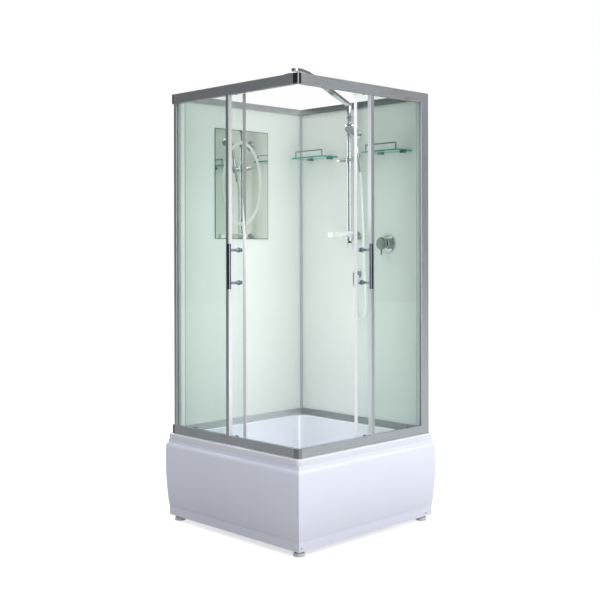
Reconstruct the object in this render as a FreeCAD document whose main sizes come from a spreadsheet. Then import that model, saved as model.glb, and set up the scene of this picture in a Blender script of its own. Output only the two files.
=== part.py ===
import FreeCAD, Part
import math
import os
from types import SimpleNamespace
import Sketcher

# Corner-entry shower cabin: a deep tub on a steel frame, two glazed door sides that open at the front corner,
# two solid walls, and the shower fittings on the right-hand wall.
# The origin is on the floor under the middle foot. Doors face -Y and +X, walls stand at -X and +Y, +Z is up.
# Lengths are in millimetres.

OUT = "parts"
Vector = FreeCAD.Vector
doc = FreeCAD.newDocument("ShowerCabin")


# Sizes that live in the sheet

class Size:
    """A length with its value in millimetres and the sheet formula that keeps it live."""

    def __init__(self, value, formula):
        self.value = float(value)
        self.formula = formula

    def __add__(self, other):
        return join(self, other, "+")

    def __radd__(self, other):
        return join(as_size(other), self, "+")

    def __sub__(self, other):
        return join(self, other, "-")

    def __rsub__(self, other):
        return join(as_size(other), self, "-")

    def __mul__(self, other):
        return join(self, other, "*")

    def __rmul__(self, other):
        return join(as_size(other), self, "*")

    def __truediv__(self, other):
        return join(self, other, "/")

    def __neg__(self):
        return join(as_size(0), self, "-")


def as_size(value):
    """Takes a plain number or a Size and gives a Size."""
    return value if isinstance(value, Size) else Size(value, repr(float(value)))


def join(left, right, sign):
    """Joins two sizes by one of the four signs, in value and in formula."""
    left = as_size(left)
    right = as_size(right)
    results = {
        "+": lambda a, b: a + b,
        "-": lambda a, b: a - b,
        "*": lambda a, b: a * b,
        "/": lambda a, b: a / b,
    }
    return Size(results[sign](left.value, right.value), f"({left.formula} {sign} {right.formula})")


ROWS = (
    # tub
    ("tub_half", 443, "half the side of the tub's rim"),
    ("tub_height", 410, "top of the rim above the floor"),
    ("tub_wall", 5, "thickness of the moulded tub"),
    ("rim_drop", 28, "height of the rim's outer lip"),
    ("rim_round", 9, "rounding of the rim's upper edge"),
    ("rim_corner", 20, "corner radius of the rim"),
    ("mouth_round", 6, "rounding of the basin's mouth"),
    ("rim_width", 63, "width of the rim from its edge to the basin's mouth"),
    ("basin_lean", 50, "how far the basin's walls lean in down to its floor"),
    ("basin_floor", 95, "height of the basin's floor above the room's floor"),
    ("basin_corner", 78, "corner radius of the basin"),
    ("basin_foot", 38, "rounding where the basin's walls meet its floor"),
    # aprons
    ("apron_swell", 21, "how far the apron bulges past the step over its flange"),
    ("apron_widest_drop", 107, "apron's widest line below the rim"),
    ("apron_crest_drop", 66, "turn from the bulge to the ledge below the rim"),
    ("apron_shoulder", 8, "fall from the crest to the ledge's edge"),
    ("apron_shoulder_bow", 26, "radius of the shoulder over the crest"),
    ("apron_ledge_drop", 45, "apron's ledge below the rim"),
    ("apron_neck_inset", 3, "upright above the ledge behind the rim's edge"),
    ("apron_flange_inset", 10, "bottom flange behind the rim's edge"),
    ("apron_flange_top", 70, "top of the bottom flange"),
    ("apron_flange_step", 3, "step out of the flange into the bulge"),
    ("apron_bottom", 24, "lower edge of the apron above the floor"),
    ("apron_wall", 4, "thickness of the apron"),
    ("apron_return", 46, "depth of the apron's closed end"),
    ("apron_top_lip", 14, "depth of the apron's upper lip"),
    ("screw_height", 40, "height of the apron screws"),
    ("screw_inset", 44, "apron screws from the rim's ends"),
    ("screw_corner_inset", 24, "right apron's front screw from the rim's end"),
    ("screw_head", 5, "radius of an apron screw's head"),
    ("screw_head_drop", 2.5, "thickness of an apron screw's head"),
    ("screw_shank", 2, "radius of an apron screw's shank"),
    ("screw_length", 8, "length of an apron screw's shank"),
    ("bracket_sheet", 2, "thickness of the apron brackets"),
    ("bracket_width", 18, "width of the apron brackets"),
    ("bracket_grip", 3, "length of a bracket under its beam"),
    # steel frame and feet
    ("foot_inset", 41, "corner feet from the rim's sides"),
    ("foot_radius", 25, "radius of a foot pad"),
    ("foot_drop", 8, "thickness of a foot pad's disc"),
    ("foot_boss", 12, "radius of a foot pad's boss"),
    ("foot_boss_drop", 7, "height of a foot pad's boss"),
    ("stud_radius", 5, "radius of a foot stud"),
    ("nut_radius", 9, "radius of a foot's lock nut"),
    ("nut_drop", 8, "height of a foot's lock nut"),
    ("beam", 25, "side of the square steel tube"),
    ("beam_wall", 2, "wall of the square steel tube"),
    # waste
    ("waste_inset", 140, "drain from the edges of the basin's floor at the front corner"),
    ("waste_cover", 45, "radius of the waste cover"),
    ("waste_cover_drop", 6, "height of the waste cover"),
    ("waste_neck", 31, "radius of the trap's neck"),
    ("trap_radius", 42, "radius of the trap's cup"),
    ("trap_drop", 72, "height of the trap's cup"),
    ("outlet_pipe", 20, "radius of the waste outlet"),
    ("outlet_pipe_reach", 90, "waste outlet's end from the drain"),
    ("outlet_pipe_drop", 52, "waste outlet below the basin's underside"),
    ("outlet_collar", 24, "radius of the collar behind the waste outlet"),
    ("outlet_collar_reach", 46, "collar's face from the drain"),
    # glass frame
    ("frame_inset", 19, "outer face of the door rails behind the rim's edge"),
    ("frame_height", 1601, "height of the glass frame above the tub"),
    ("wall_end_inset", 9, "far ends of the rails and the wall post behind the rim's edge"),
    ("rail_depth", 30, "depth of the rails"),
    ("rail_wall", 2, "wall of the extruded rails"),
    ("top_rail", 45, "height of the top rails"),
    ("bottom_rail", 38, "height of the bottom rails"),
    ("pane_thick", 5, "thickness of the glass"),
    ("pane_inset", 8, "outer face of the fixed panes behind the frame's face"),
    ("pocket", 14, "depth of the rails' pane pockets"),
    ("door_inset", 22.5, "outer face of the door glass behind the frame's face"),
    ("track_reach", 21.5, "inner edge of the roller track behind the frame's face"),
    ("track_drop", 16, "height of the guide track in the bottom rails"),
    ("lip", 2, "thickness of the rails' inner lips"),
    ("bottom_lip", 12, "height of the bottom rails' inner lip"),
    ("top_lip", 18, "height of the top rails' inner lip"),
    ("corner_face", 18, "width of the corner connectors on the +X side"),
    ("cap_length", 16, "length of the rail end caps"),
    ("proud", 1, "how far the chrome pieces stand out of the rails"),
    ("connector_round", 6, "rounding of the chrome corner pieces"),
    ("channel_width", 15, "width of the slim wall channel"),
    ("post_width", 48, "width of the wall post"),
    ("groove", 8, "depth of the grooves that hold glass and walls"),
    ("seat_gap", 0.3, "clearance between loose neighbours"),
    ("stile_width", 19, "width of the fixed panes' edge profiles"),
    ("stile_depth", 20, "depth of the fixed panes' edge profiles"),
    ("stile_left", 40, "left pane's edge profile from the middle"),
    ("stile_right", 30, "right pane's edge profile from the middle"),
    # walls
    ("wall_inset", 35, "inner faces of the wall panels behind the rim's edge"),
    ("back_depth", 20, "depth of the back rails and the back corner"),
    ("back_rail", 30, "height of the back rails"),
    # doors
    ("door_lap", 1, "door glass wider than half the frame"),
    ("door_rest_left", 53, "left door's trailing edge from its rails' ends when open"),
    ("door_rest_right", 9, "right door's trailing edge from the wall post when open"),
    ("door_dip", 6, "door glass above the bottom rail's underside"),
    ("door_rise", 36, "door glass above the top rail's underside"),
    ("roller_front", 60, "leading rollers from the leading edge"),
    ("roller_back", 70, "trailing rollers from the trailing edge"),
    ("wheel_radius", 9.5, "radius of a roller wheel"),
    ("wheel_width", 5, "width of a roller wheel"),
    ("axle_radius", 2.5, "radius of a roller's axle"),
    ("axle_clearance", 0.05, "clearance of a wheel on its axle"),
    ("axle_head", 4, "radius of an axle's head"),
    ("axle_head_drop", 0.6, "thickness of an axle's head"),
    ("spacer_radius", 8, "radius of the roller's spacer on the glass"),
    ("spacer_drop", 0.8, "thickness of the roller's spacer"),
    ("bolt_radius", 4, "radius of the bolts through the door glass"),
    ("roller_cap", 13, "radius of a roller's chrome cap"),
    ("roller_cap_drop", 6, "thickness of a roller's chrome cap"),
    ("seal_grip", 8, "depth of the door seal over the glass"),
    ("seal_thick", 8, "thickness of the door seal"),
    ("seal_nose", 8, "reach of the door seal past the glass"),
    ("seal_end_gap", 2, "door seals' ends from the rails"),
    # door handles
    ("handle_place", 45, "handles from the doors' leading edges"),
    ("handle_rise", 792, "middle of the handles above the tub"),
    ("handle_length", 200, "length of a handle"),
    ("handle_width", 18, "width of a handle bar"),
    ("handle_thick", 12, "thickness of a handle bar"),
    ("handle_round", 4, "rounding of a handle bar"),
    ("handle_reach", 45, "handle bar's inner face from the door glass"),
    ("handle_pitch", 145, "distance between a handle's fixings"),
    ("handle_post", 6, "radius of a handle's posts"),
    ("handle_collar", 11, "radius of the collars on the glass"),
    ("handle_collar_drop", 14, "thickness of the outer collars"),
    ("handle_knob_drop", 16, "thickness of the inner knobs"),
    # mirror and shelves
    ("mirror_width", 350, "width of the mirror"),
    ("mirror_height", 542, "height of the mirror"),
    ("mirror_drop", 140, "upper edge of the mirror below the frame's top"),
    ("mirror_shift", 9, "mirror's middle from the wall's middle, towards the doors"),
    ("mirror_thick", 5, "thickness of the mirror"),
    ("shelf_length", 240, "length of a glass shelf"),
    ("shelf_post_gap", 42, "right shelf's far end from the wall post"),
    ("shelf_corner_gap", 33, "left shelf's far end from the corner of the walls"),
    ("shelf_reach", 110, "depth of a glass shelf"),
    ("shelf_thick", 6, "thickness of a glass shelf"),
    ("shelf_corner", 22, "radius of a shelf's front corners"),
    ("shelf_gap", 5, "shelf glass from the wall"),
    ("shelf_rise", 1333, "underside of the shelves above the tub"),
    ("bracket_half", 70, "shelf brackets from a shelf's middle"),
    ("clamp_width", 20, "width of a shelf bracket"),
    ("clamp_reach", 26, "depth of a shelf bracket"),
    ("clamp_lip", 6, "jaw thickness of a shelf bracket"),
    ("gallery_half", 95, "gallery posts from a shelf's middle"),
    ("gallery_set", 20, "gallery rail behind the shelf's front edge"),
    ("gallery_height", 32, "height of the gallery rail above the glass"),
    ("gallery_rod", 3.5, "radius of the gallery rod"),
    ("gallery_foot", 6.5, "radius of a gallery post's foot"),
    ("gallery_foot_drop", 2, "thickness of a gallery post's foot"),
    # riser
    ("riser_off", 63, "riser's axis from the wall"),
    ("riser_radius", 12, "radius of the riser pipe"),
    ("riser_rise", 942, "lower end of the bare riser above the tub"),
    ("riser_length", 586, "length of the bare riser"),
    ("base_radius", 17, "radius of the riser base"),
    ("base_height", 34, "height of the riser base"),
    ("stub_radius", 11, "radius of the stubs through the wall"),
    ("stub_out", 30, "stubs' reach behind the wall's inner face"),
    ("rose_radius", 28, "radius of the wall roses"),
    ("rose_drop", 6, "thickness of the wall roses"),
    ("knob_neck", 7, "radius of the diverter knob's neck"),
    ("knob_radius", 12, "radius of the diverter knob"),
    ("knob_neck_drop", 6, "height of the diverter knob's neck"),
    ("knob_drop", 26, "height of the diverter knob"),
    ("collar_radius", 16, "radius of the riser's top collar"),
    ("collar_drop", 18, "height of the riser's top collar"),
    ("upper_bracket_drop", 88, "riser's upper bracket below the riser's top"),
    ("ring_radius", 17, "outer radius of rings round the riser"),
    ("ring_height", 18, "height of rings round the riser"),
    ("bracket_arm", 7, "radius of the upper bracket's arm"),
    ("running_gap", 0.05, "clearance of rings on the riser"),
    # soap dish
    ("dish_width", 144, "width of the soap dish"),
    ("dish_depth", 110, "depth of the soap dish"),
    ("dish_height", 22, "height of the soap dish"),
    ("dish_wall", 3, "wall of the soap dish"),
    ("dish_corner", 44, "corner radius of the soap dish"),
    ("dish_fall", 16, "underside of the soap dish below the riser's lower end"),
    ("dish_gap", 28, "soap dish's back edge from the riser's axis"),
    ("dish_ring", 12, "height of the soap dish's ring"),
    ("dish_bridge", 6, "thickness of the soap dish's neck"),
    ("dish_neck", 24, "width of the soap dish's neck"),
    # slider, holder and handset
    ("slider_rise", 367, "slider's middle above the riser's lower end"),
    ("sleeve_radius", 17, "radius of the slider's sleeve"),
    ("sleeve_height", 34, "height of the slider's sleeve"),
    ("barrel_radius", 13, "radius of the slider's cross barrel"),
    ("barrel_left", 39, "cross barrel's end on the knob side"),
    ("barrel_right", 26, "cross barrel's end on the holder side"),
    ("clamp_knob", 12, "radius of the slider's clamp knob"),
    ("clamp_knob_tip", 9, "radius of the clamp knob's outer end"),
    ("clamp_knob_length", 40, "length of the clamp knob"),
    ("hand_side", 60, "handset's axis from the riser's axis, to the side"),
    ("cup_outer", 16, "outer radius of the holder's cup"),
    ("cup_inner_low", 9, "inner radius of the cup at its lower end"),
    ("cup_inner_high", 11.5, "inner radius of the cup at its upper end"),
    ("cup_height", 30, "height of the holder's cup"),
    ("cup_slot", 16, "width of the cup's slot for the hose"),
    ("grip_below", 32, "handset's lower end below the slider, along its axis"),
    ("grip_above", 122, "handle's upper end above the slider, along its axis"),
    ("grip_tip", 8, "radius of the handset's threaded end"),
    ("grip_shoulder", 13, "radius of the handle's shoulder above the cup"),
    ("grip_shoulder_drop", 4, "height of the handle's shoulder"),
    ("grip_waist", 9.5, "radius of the handle's waist"),
    ("grip_top", 11, "radius of the handle at its upper end"),
    ("spray_radius", 40, "radius of the handset's head"),
    ("spray_drop", 22, "thickness of the handset's head"),
    ("spray_forward", 53, "handset head's face in front of the riser's axis"),
    ("spray_up", 136, "handset head's face above the slider"),
    # hose and its outlet
    ("outlet_fall", 196, "hose outlet below the riser's lower end"),
    ("outlet_rose", 26, "radius of the hose outlet's rose"),
    ("outlet_off", 30, "hose outlet's axis from the wall"),
    ("outlet_body", 10, "radius of the hose outlet's body"),
    ("outlet_drop", 36, "hose outlet's lower end below its middle"),
    ("hose_radius", 6, "radius of the hose"),
    ("hose_first_run", 60, "hose's straight way out of the handset, to its first bend"),
    ("hose_last_run", 52, "hose's straight way up into the outlet, from its last bend"),
    ("hose_nut", 8, "radius of a hose nut at its fitting"),
    ("hose_nut_tip", 7.3, "radius of a hose nut at the hose"),
    ("hand_nut_length", 33, "length of the hose nut on the handset"),
    ("outlet_nut_length", 28, "length of the hose nut on the outlet"),
    # rain arm and head
    ("arm_width_back", 27, "width of the rain arm at the riser"),
    ("arm_width_front", 42, "width of the rain arm at the head"),
    ("arm_thick", 13, "thickness of the rain arm"),
    ("arm_climb", 177, "underside of the arm's level end above the riser's top"),
    ("arm_level", 16, "start of the arm's bend past the head's axis"),
    ("arm_heel", 6, "arm's back end past the riser's axis"),
    ("arm_round", 21.5, "radius of the arm's front end"),
    ("arm_bow", 298, "radius of the arm's bend"),
    ("arm_socket", 14, "radius of the arm's socket on the riser"),
    ("arm_socket_lap", 12, "arm's socket past the arm's underside"),
    ("head_shift", 12, "rain head's axis in front of the middle"),
    ("head_radius", 64, "radius of the rain head"),
    ("head_rim", 9, "thickness of the rain head's rim"),
    ("head_crown", 3, "rise of the rain head's back"),
    ("head_neck", 14, "radius of the rain head's neck"),
    ("ball_radius", 9, "radius of the ball joint"),
    ("ball_low", 12, "ball's centre below the arm's underside"),
    ("arm_stud", 5, "radius of the stud over the ball"),
    # mixer
    ("mixer_place", 202, "mixer's axis from the wall's middle"),
    ("mixer_drop", 48, "mixer's axis below the riser's lower end"),
    ("plate_radius", 44, "radius of the mixer's plate"),
    ("plate_drop", 8, "thickness of the mixer's plate"),
    ("mixer_sleeve", 25, "radius of the mixer's sleeve"),
    ("sleeve_reach", 32, "end of the mixer's sleeve from the wall"),
    ("spindle_radius", 14, "radius of the mixer's spindle"),
    ("spindle_reach", 40, "end of the spindle from the wall"),
    ("pivot_radius", 4, "radius of the lever's pivot pin"),
    ("pivot_half", 8, "half the length of the lever's pivot pin"),
    ("pivot_off", 44, "lever's pivot from the wall"),
    ("lever_radius", 30, "radius of the lever's disc"),
    ("lever_drop", 16, "thickness of the lever's disc"),
    ("pin_radius", 4, "radius of the lever's pin"),
    ("pin_reach", 56, "end of the lever's pin from the mixer's axis"),
    ("valve_radius", 18, "radius of the valve body behind the wall"),
    ("valve_back", 28, "end of the valve body behind the wall's inner face"),
    ("block_half", 40, "half the width of the valve's back block"),
    ("block_rise", 14, "half the height of the valve's back block"),
    ("block_thick", 20, "thickness of the valve's back block"),
    ("inlet_radius", 10.48, "radius of the water inlets"),
    ("inlet_shift", 26, "water inlets' axes from the mixer's axis"),
    ("inlet_length", 20, "length of a water inlet behind the block"),
    ("supply_radius", 6, "radius of the supply pipes"),
    ("supply_off", 20, "supply pipes' axis behind the wall's inner face"),
    ("supply_rise", 53, "supply pipe's upper run above the valve's top"),
    ("nut_across", 22, "radius of the back nuts"),
    ("nut_thick", 8, "thickness of the back nuts"),
    ("overrun", 5, "how far cutting shapes run past what they cut"),
)

# The hose's way between its straight ends, from the riser's axis and above the outlet's lower end
HOSE_WAY = (
    (61, 21, 440),
    (64, 26, 320),
    (68, 27, 200),
    (75, 23, 85),
    (86, 17, -15),
    (96, 11, -95),
    (97, 9, -152),
    (72, 15, -188),
    (32, 25, -190),
    (5, 32, -158),
    (-1, 34, -104),
)
ROWS += tuple(
    (f"hose_{letter}{number}", value, f"hose's bend {number} along {letter}")
    for number, bend in enumerate(HOSE_WAY, start=1)
    for letter, value in zip("xyz", bend)
)

sheet = doc.addObject("Spreadsheet::Sheet", "Sizes")
for row_index, (alias, value, meaning) in enumerate(ROWS, start=1):
    sheet.set(f"A{row_index}", meaning)
    sheet.set(f"B{row_index}", str(value))
    sheet.setAlias(f"B{row_index}", alias)
doc.recompute()
d = SimpleNamespace(**{alias: Size(sheet.get(alias), f"Sizes.{alias}") for alias, _, _ in ROWS})

# Angles, in degrees
HAND_TILT = 11.0
SPRAY_TILT = 55.0
HEAD_LEAN = 5.0
ARM_SLOPE = 23.0
FULL_TURN = 360.0

# Shares of the size they are multiplied by
EDGE_SHARE = 0.2
PLATE_EDGE_SHARE = 0.35
NECK_LAP_SHARE = 0.35
TANGENT_SHARE = 0.45
KNOB_LEVEL_SHARES = (0.3, 0.45, 0.6, 0.75)
KNOB_END_SHARE = 0.8
CLAMP_LEVEL_SHARES = (0.12, 0.2, 0.5)
CLAMP_NECK_SHARE = 0.65
SPRAY_LEVEL_SHARES = (0.2, 0.5, 0.85)
SPRAY_FACE_SHARE = 0.9
SPRAY_BACK_SHARE = 0.7
HEAD_FALL_SHARE = 0.6
HEAD_COLLAR_SHARE = 0.4
HEAD_SHOULDER_SHARE = 1.6
LEVEL_SHARE = 0.001

X = Vector(1, 0, 0)
Y = Vector(0, 1, 0)
Z = Vector(0, 0, 1)


# Building blocks

def turn(local_x, local_y):
    """The rotation that lays a shape's own X and Y along two given directions."""
    return FreeCAD.Rotation(local_x, local_y, local_x.cross(local_y), "XYZ")


def aim(direction):
    """The rotation that points a shape's own Z along a direction."""
    return FreeCAD.Rotation(Z, direction)


def place(item, spot, rotation=None):
    """Puts a shape's own origin at a spot given in sizes, and keeps it bound to the sheet."""
    spot = [as_size(value) for value in spot]
    base = Vector(*[value.value for value in spot])
    item.Placement = FreeCAD.Placement(base, rotation or FreeCAD.Rotation())
    for letter, value in zip("xyz", spot):
        item.setExpression(f"Placement.Base.{letter}", value.formula)
    return item


def bind(item, **sizes):
    """Sets and binds plain lengths of an object."""
    for name, value in sizes.items():
        value = as_size(value)
        setattr(item, name, value.value)
        item.setExpression(name, value.formula)
    return item


def box(name, low, high):
    """A block between its low and high corners."""
    item = doc.addObject("Part::Box", name)
    low = [as_size(value) for value in low]
    high = [as_size(value) for value in high]
    bind(item, Length=high[0] - low[0], Width=high[1] - low[1], Height=high[2] - low[2])
    return place(item, low)


def rod(name, start, radius, length, rotation=None):
    """A round rod that runs along its own Z from its start."""
    item = doc.addObject("Part::Cylinder", name)
    bind(item, Radius=radius, Height=length)
    return place(item, start, rotation)


def cone(name, start, low_radius, high_radius, length, rotation=None):
    """A cone that runs along its own Z from its start."""
    item = doc.addObject("Part::Cone", name)
    bind(item, Radius1=low_radius, Radius2=high_radius, Height=length)
    return place(item, start, rotation)


def ball(name, centre, radius):
    """A ball about its centre."""
    item = doc.addObject("Part::Sphere", name)
    bind(item, Radius=radius)
    return place(item, centre)


def fuse(name, items):
    """Joins shapes into one solid."""
    item = doc.addObject("Part::MultiFuse", name)
    item.Shapes = list(items)
    item.Refine = True
    return item


def cut(name, base, tools):
    """Takes one or more shapes away from a base."""
    tool = tools[0]
    if len(tools) > 1:
        tool = group(name + "_tools", tools)
    item = doc.addObject("Part::Cut", name)
    item.Base = base
    item.Tool = tool
    item.Refine = True
    return item


def common(name, first, second):
    """Keeps what two shapes share."""
    item = doc.addObject("Part::Common", name)
    item.Base = first
    item.Tool = second
    return item


def group(name, items):
    """Keeps separate solids together under one name."""
    item = doc.addObject("Part::Compound", name)
    item.Links = list(items)
    return item


def origin_plane(body, role):
    """One of a body's own origin planes."""
    return next(feature for feature in body.Origin.OriginFeatures if feature.Role == role)


def draw(body, outlines, arcs=None):
    """Draws closed outlines on a body's XY plane, each corner bound to the sheet.

    arcs maps a corner's index in the first outline to the arc that leaves it: 1 for an arc that swells to the
    right of the way from corner to corner or -1 to the left, and its radius.
    """
    sketch = body.newObject("Sketcher::SketchObject", body.Name + "_sketch")
    sketch.AttachmentSupport = (origin_plane(body, "XY_Plane"), [""])
    sketch.MapMode = "FlatFace"
    for number, outline in enumerate(outlines):
        draw_outline(sketch, outline, (arcs or {}) if number == 0 else {})
    return sketch


def draw_outline(sketch, outline, arcs):
    """Draws one closed outline with its constraints."""
    corners = [(as_size(x), as_size(y)) for x, y in outline]
    flat = [Vector(x.value, y.value, 0) for x, y in corners]
    edges = []
    for index, here in enumerate(flat):
        there = flat[(index + 1) % len(flat)]
        if index in arcs:
            swell, radius = arcs[index]
            edges.append(draw_arc(sketch, here, there, radius, swell))
        else:
            edges.append((sketch.addGeometry(Part.LineSegment(here, there), False), 1, 2))
    for index, (edge, first, last) in enumerate(edges):
        following, start, _ = edges[(index + 1) % len(edges)]
        sketch.addConstraint(Sketcher.Constraint("Coincident", edge, last, following, start))
        for kind, value in zip(("DistanceX", "DistanceY"), corners[index]):
            number = sketch.addConstraint(Sketcher.Constraint(kind, -1, 1, edge, first, value.value))
            sketch.setExpression(f"Constraints[{number}]", value.formula)


def draw_arc(sketch, here, there, radius, swell):
    """Draws an arc between two corners, swelling right (1) or left (-1) of the way, and binds its radius."""
    chord = there - here
    middle = (here + there) / 2
    rise = math.sqrt(radius.value ** 2 - (chord.Length / 2) ** 2)
    left = Vector(-chord.y, chord.x, 0).normalize()
    centre = middle + left * rise * swell
    start_angle = math.atan2(here.y - centre.y, here.x - centre.x)
    end_angle = math.atan2(there.y - centre.y, there.x - centre.x)
    circle = Part.Circle(centre, Z, radius.value)
    if swell > 0:
        edge = sketch.addGeometry(Part.ArcOfCircle(circle, start_angle, end_angle), False)
        ends = (1, 2)
    else:
        edge = sketch.addGeometry(Part.ArcOfCircle(circle, end_angle, start_angle), False)
        ends = (2, 1)
    number = sketch.addConstraint(Sketcher.Constraint("Radius", edge, radius.value))
    sketch.setExpression(f"Constraints[{number}]", radius.formula)
    return edge, ends[0], ends[1]


def extruded(name, outlines, length, spot, rotation=None, arcs=None):
    """A body drawn on its own XY plane and padded along its own Z."""
    body = doc.addObject("PartDesign::Body", name)
    sketch = draw(body, outlines, arcs)
    pad = body.newObject("PartDesign::Pad", name + "_pad")
    pad.Profile = sketch
    bind(pad, Length=length)
    return place(body, spot, rotation)


def turned(name, outline, spot, rotation=None, arcs=None):
    """A body turned about its own Y from an outline of radius and height."""
    body = doc.addObject("PartDesign::Body", name)
    sketch = draw(body, [outline], arcs)
    spin = body.newObject("PartDesign::Revolution", name + "_turn")
    spin.Profile = sketch
    spin.ReferenceAxis = (sketch, ["V_Axis"])
    spin.Angle = FULL_TURN
    return place(body, spot, rotation)


def rounded(body, radius, wanted):
    """Rounds the edges of a body's last feature that pass a test."""
    doc.recompute()
    base = body.Tip
    names = [f"Edge{number}" for number, edge in enumerate(base.Shape.Edges, start=1) if wanted(edge)]
    fillet = body.newObject("PartDesign::Fillet", f"{body.Name}_round{len(body.Group)}")
    fillet.Base = (base, names)
    bind(fillet, Radius=radius)
    return body


def upright(edge):
    """Says whether an edge climbs more than it runs."""
    first, last = edge.Vertexes[0].Point, edge.Vertexes[-1].Point
    way = last - first
    return abs(way.z) > abs(way.x) and abs(way.z) > abs(way.y)


def level_at(height):
    """Makes a test for edges that lie at one height of the body's own frame."""
    slack = d.rim_drop.value * LEVEL_SHARE

    def test(edge):
        box_of_edge = edge.BoundBox
        return max(abs(box_of_edge.ZMin - height), abs(box_of_edge.ZMax - height)) < slack

    return test


def square(half):
    """A square outline about the origin."""
    return [(-half, -half), (half, -half), (half, half), (-half, half)]


def rectangle(low_x, low_y, high_x, high_y):
    """A rectangular outline between two corners."""
    return [(low_x, low_y), (high_x, low_y), (high_x, high_y), (low_x, high_y)]


nodes = []


def keep(item, label):
    """Names a finished piece of the cabin."""
    item.Label = label
    nodes.append(item)
    return item


# Shared places

basin_half = d.tub_half - d.rim_width
basin_floor_half = basin_half - d.basin_lean
basin_depth = d.tub_height - d.basin_floor
waste_place = basin_floor_half - d.waste_inset
apron_flange = d.tub_half - d.apron_flange_inset
apron_bulge = apron_flange + d.apron_flange_step + d.apron_swell
apron_neck = d.tub_half - d.apron_neck_inset
apron_ledge = d.tub_height - d.apron_ledge_drop
apron_crest = d.tub_height - d.apron_crest_drop
apron_widest = d.tub_height - d.apron_widest_drop
beam_top = d.basin_floor - d.tub_wall
beam_low = beam_top - d.beam
foot_place = d.tub_half - d.foot_inset
frame_half = d.tub_half - d.frame_inset
frame_top = d.tub_height + d.frame_height
wall_end = d.tub_half - d.wall_end_inset
wall_half = d.tub_half - d.wall_inset
wall_back = wall_half + d.pane_thick
door_low = d.tub_height + d.bottom_rail
door_high = frame_top - d.top_rail
door_span = door_high - door_low
door_plane = frame_half - d.door_inset - d.pane_thick / 2
rail_back = frame_half - d.rail_depth
rail_end = wall_end - d.cap_length
post_start = wall_end - d.post_width
back_out = wall_half + d.back_depth / 2
back_in = wall_half - d.back_depth / 2
door_width = frame_half + d.door_lap
door_edge_left = door_width + d.door_rest_left - rail_end
door_edge_right = door_width + d.door_rest_right - post_start
roller_rear = door_width - d.roller_back
handle_middle = d.tub_height + d.handle_rise
mirror_low = frame_top - d.mirror_drop - d.mirror_height
shelf_height = d.tub_height + d.shelf_rise
shelf_left = wall_half - d.shelf_corner_gap - d.shelf_length / 2
shelf_right = rail_back - d.shelf_post_gap - d.shelf_length / 2
riser_low = d.tub_height + d.riser_rise
mixer_height = riser_low - d.mixer_drop
riser_high = riser_low + d.riser_length
upper_bracket = riser_high - d.upper_bracket_drop
dish_low = riser_low - d.dish_fall
slider_height = riser_low + d.slider_rise
outlet_height = riser_low - d.outlet_fall
arm_end = riser_high + d.arm_climb
riser_y = wall_half - d.riser_off
rose_face = wall_half - d.rose_drop
supply_y = wall_half + d.supply_off
base_middle = riser_low - d.base_height / 2
bore_radius = d.riser_radius + d.running_gap


# Tub, aprons and what carries them

def taper_block(name, low_half, high_half, height, top):
    """A square block under a height, whose sides lean inwards as it goes down."""
    wedge = doc.addObject("Part::Wedge", name)
    bind(wedge, Ymin=0, Ymax=height)
    bind(wedge, Xmin=-high_half, Xmax=high_half, X2min=-low_half, X2max=low_half)
    bind(wedge, Zmin=-high_half, Zmax=high_half, Z2min=-low_half, Z2max=low_half)
    return place(wedge, (0, 0, top), turn(X, -Z))


def rounded_solid(name, base, radius, wanted):
    """Rounds the edges of a plain solid that pass a test."""
    doc.recompute()
    fillet = doc.addObject("Part::Fillet", name)
    fillet.Base = base
    numbers = [number for number, edge in enumerate(base.Shape.Edges, start=1) if wanted(edge)]
    fillet.Edges = [(number, radius.value, radius.value) for number in numbers]
    return fillet


def bowl(name, wall, top):
    """The basin's form, grown by a wall, with leaning sides, round corners and a round foot."""
    lean = (basin_half - basin_floor_half) / basin_depth
    low = d.basin_floor - wall
    low_half = basin_floor_half + wall
    block = taper_block(name + "_block", low_half, low_half + lean * (top - low), top - low, top)
    sides = rounded_solid(name + "_sides", block, d.basin_corner + wall, upright)
    return rounded_solid(name, sides, d.basin_foot + wall, level_at(low.value))


def make_tub():
    """The moulded tub: a rim with a rounded lip, a leaning basin and the drain hole."""
    rim_low = d.tub_height - d.rim_drop
    rim = extruded("rim", [square(d.tub_half)], d.rim_drop, (0, 0, rim_low))
    rounded(rim, d.rim_corner, upright)
    rounded(rim, d.rim_round, level_at(d.rim_drop.value))
    hollow_height = d.rim_drop + d.overrun - d.tub_wall
    hollow_spot = (0, 0, rim_low - d.overrun)
    hollow = extruded("rim_hollow", [square(d.tub_half - d.tub_wall)], hollow_height, hollow_spot)
    rounded(hollow, d.rim_corner - d.tub_wall, upright)
    shell = cut("rim_shell", rim, [hollow])
    solid = fuse("tub_solid", [shell, bowl("basin_outer", d.tub_wall, d.tub_height - d.tub_wall / 2)])
    drain_spot = (waste_place, -waste_place, beam_top - d.overrun)
    drain = rod("drain_hole", drain_spot, d.waste_neck + d.seat_gap, d.tub_wall + 2 * d.overrun)
    inner = bowl("basin_inner", as_size(0), d.tub_height + d.overrun)
    open_tub = cut("tub_open", solid, [inner, drain])
    mouth = basin_half + d.tub_wall

    def at_mouth(edge):
        extent = edge.BoundBox
        level = level_at(d.tub_height.value)(edge)
        return level and max(extent.XMax, -extent.XMin, extent.YMax, -extent.YMin) < mouth.value

    keep(rounded_solid("tub_rounded", open_tub, d.mouth_round, at_mouth), "tub")


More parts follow.
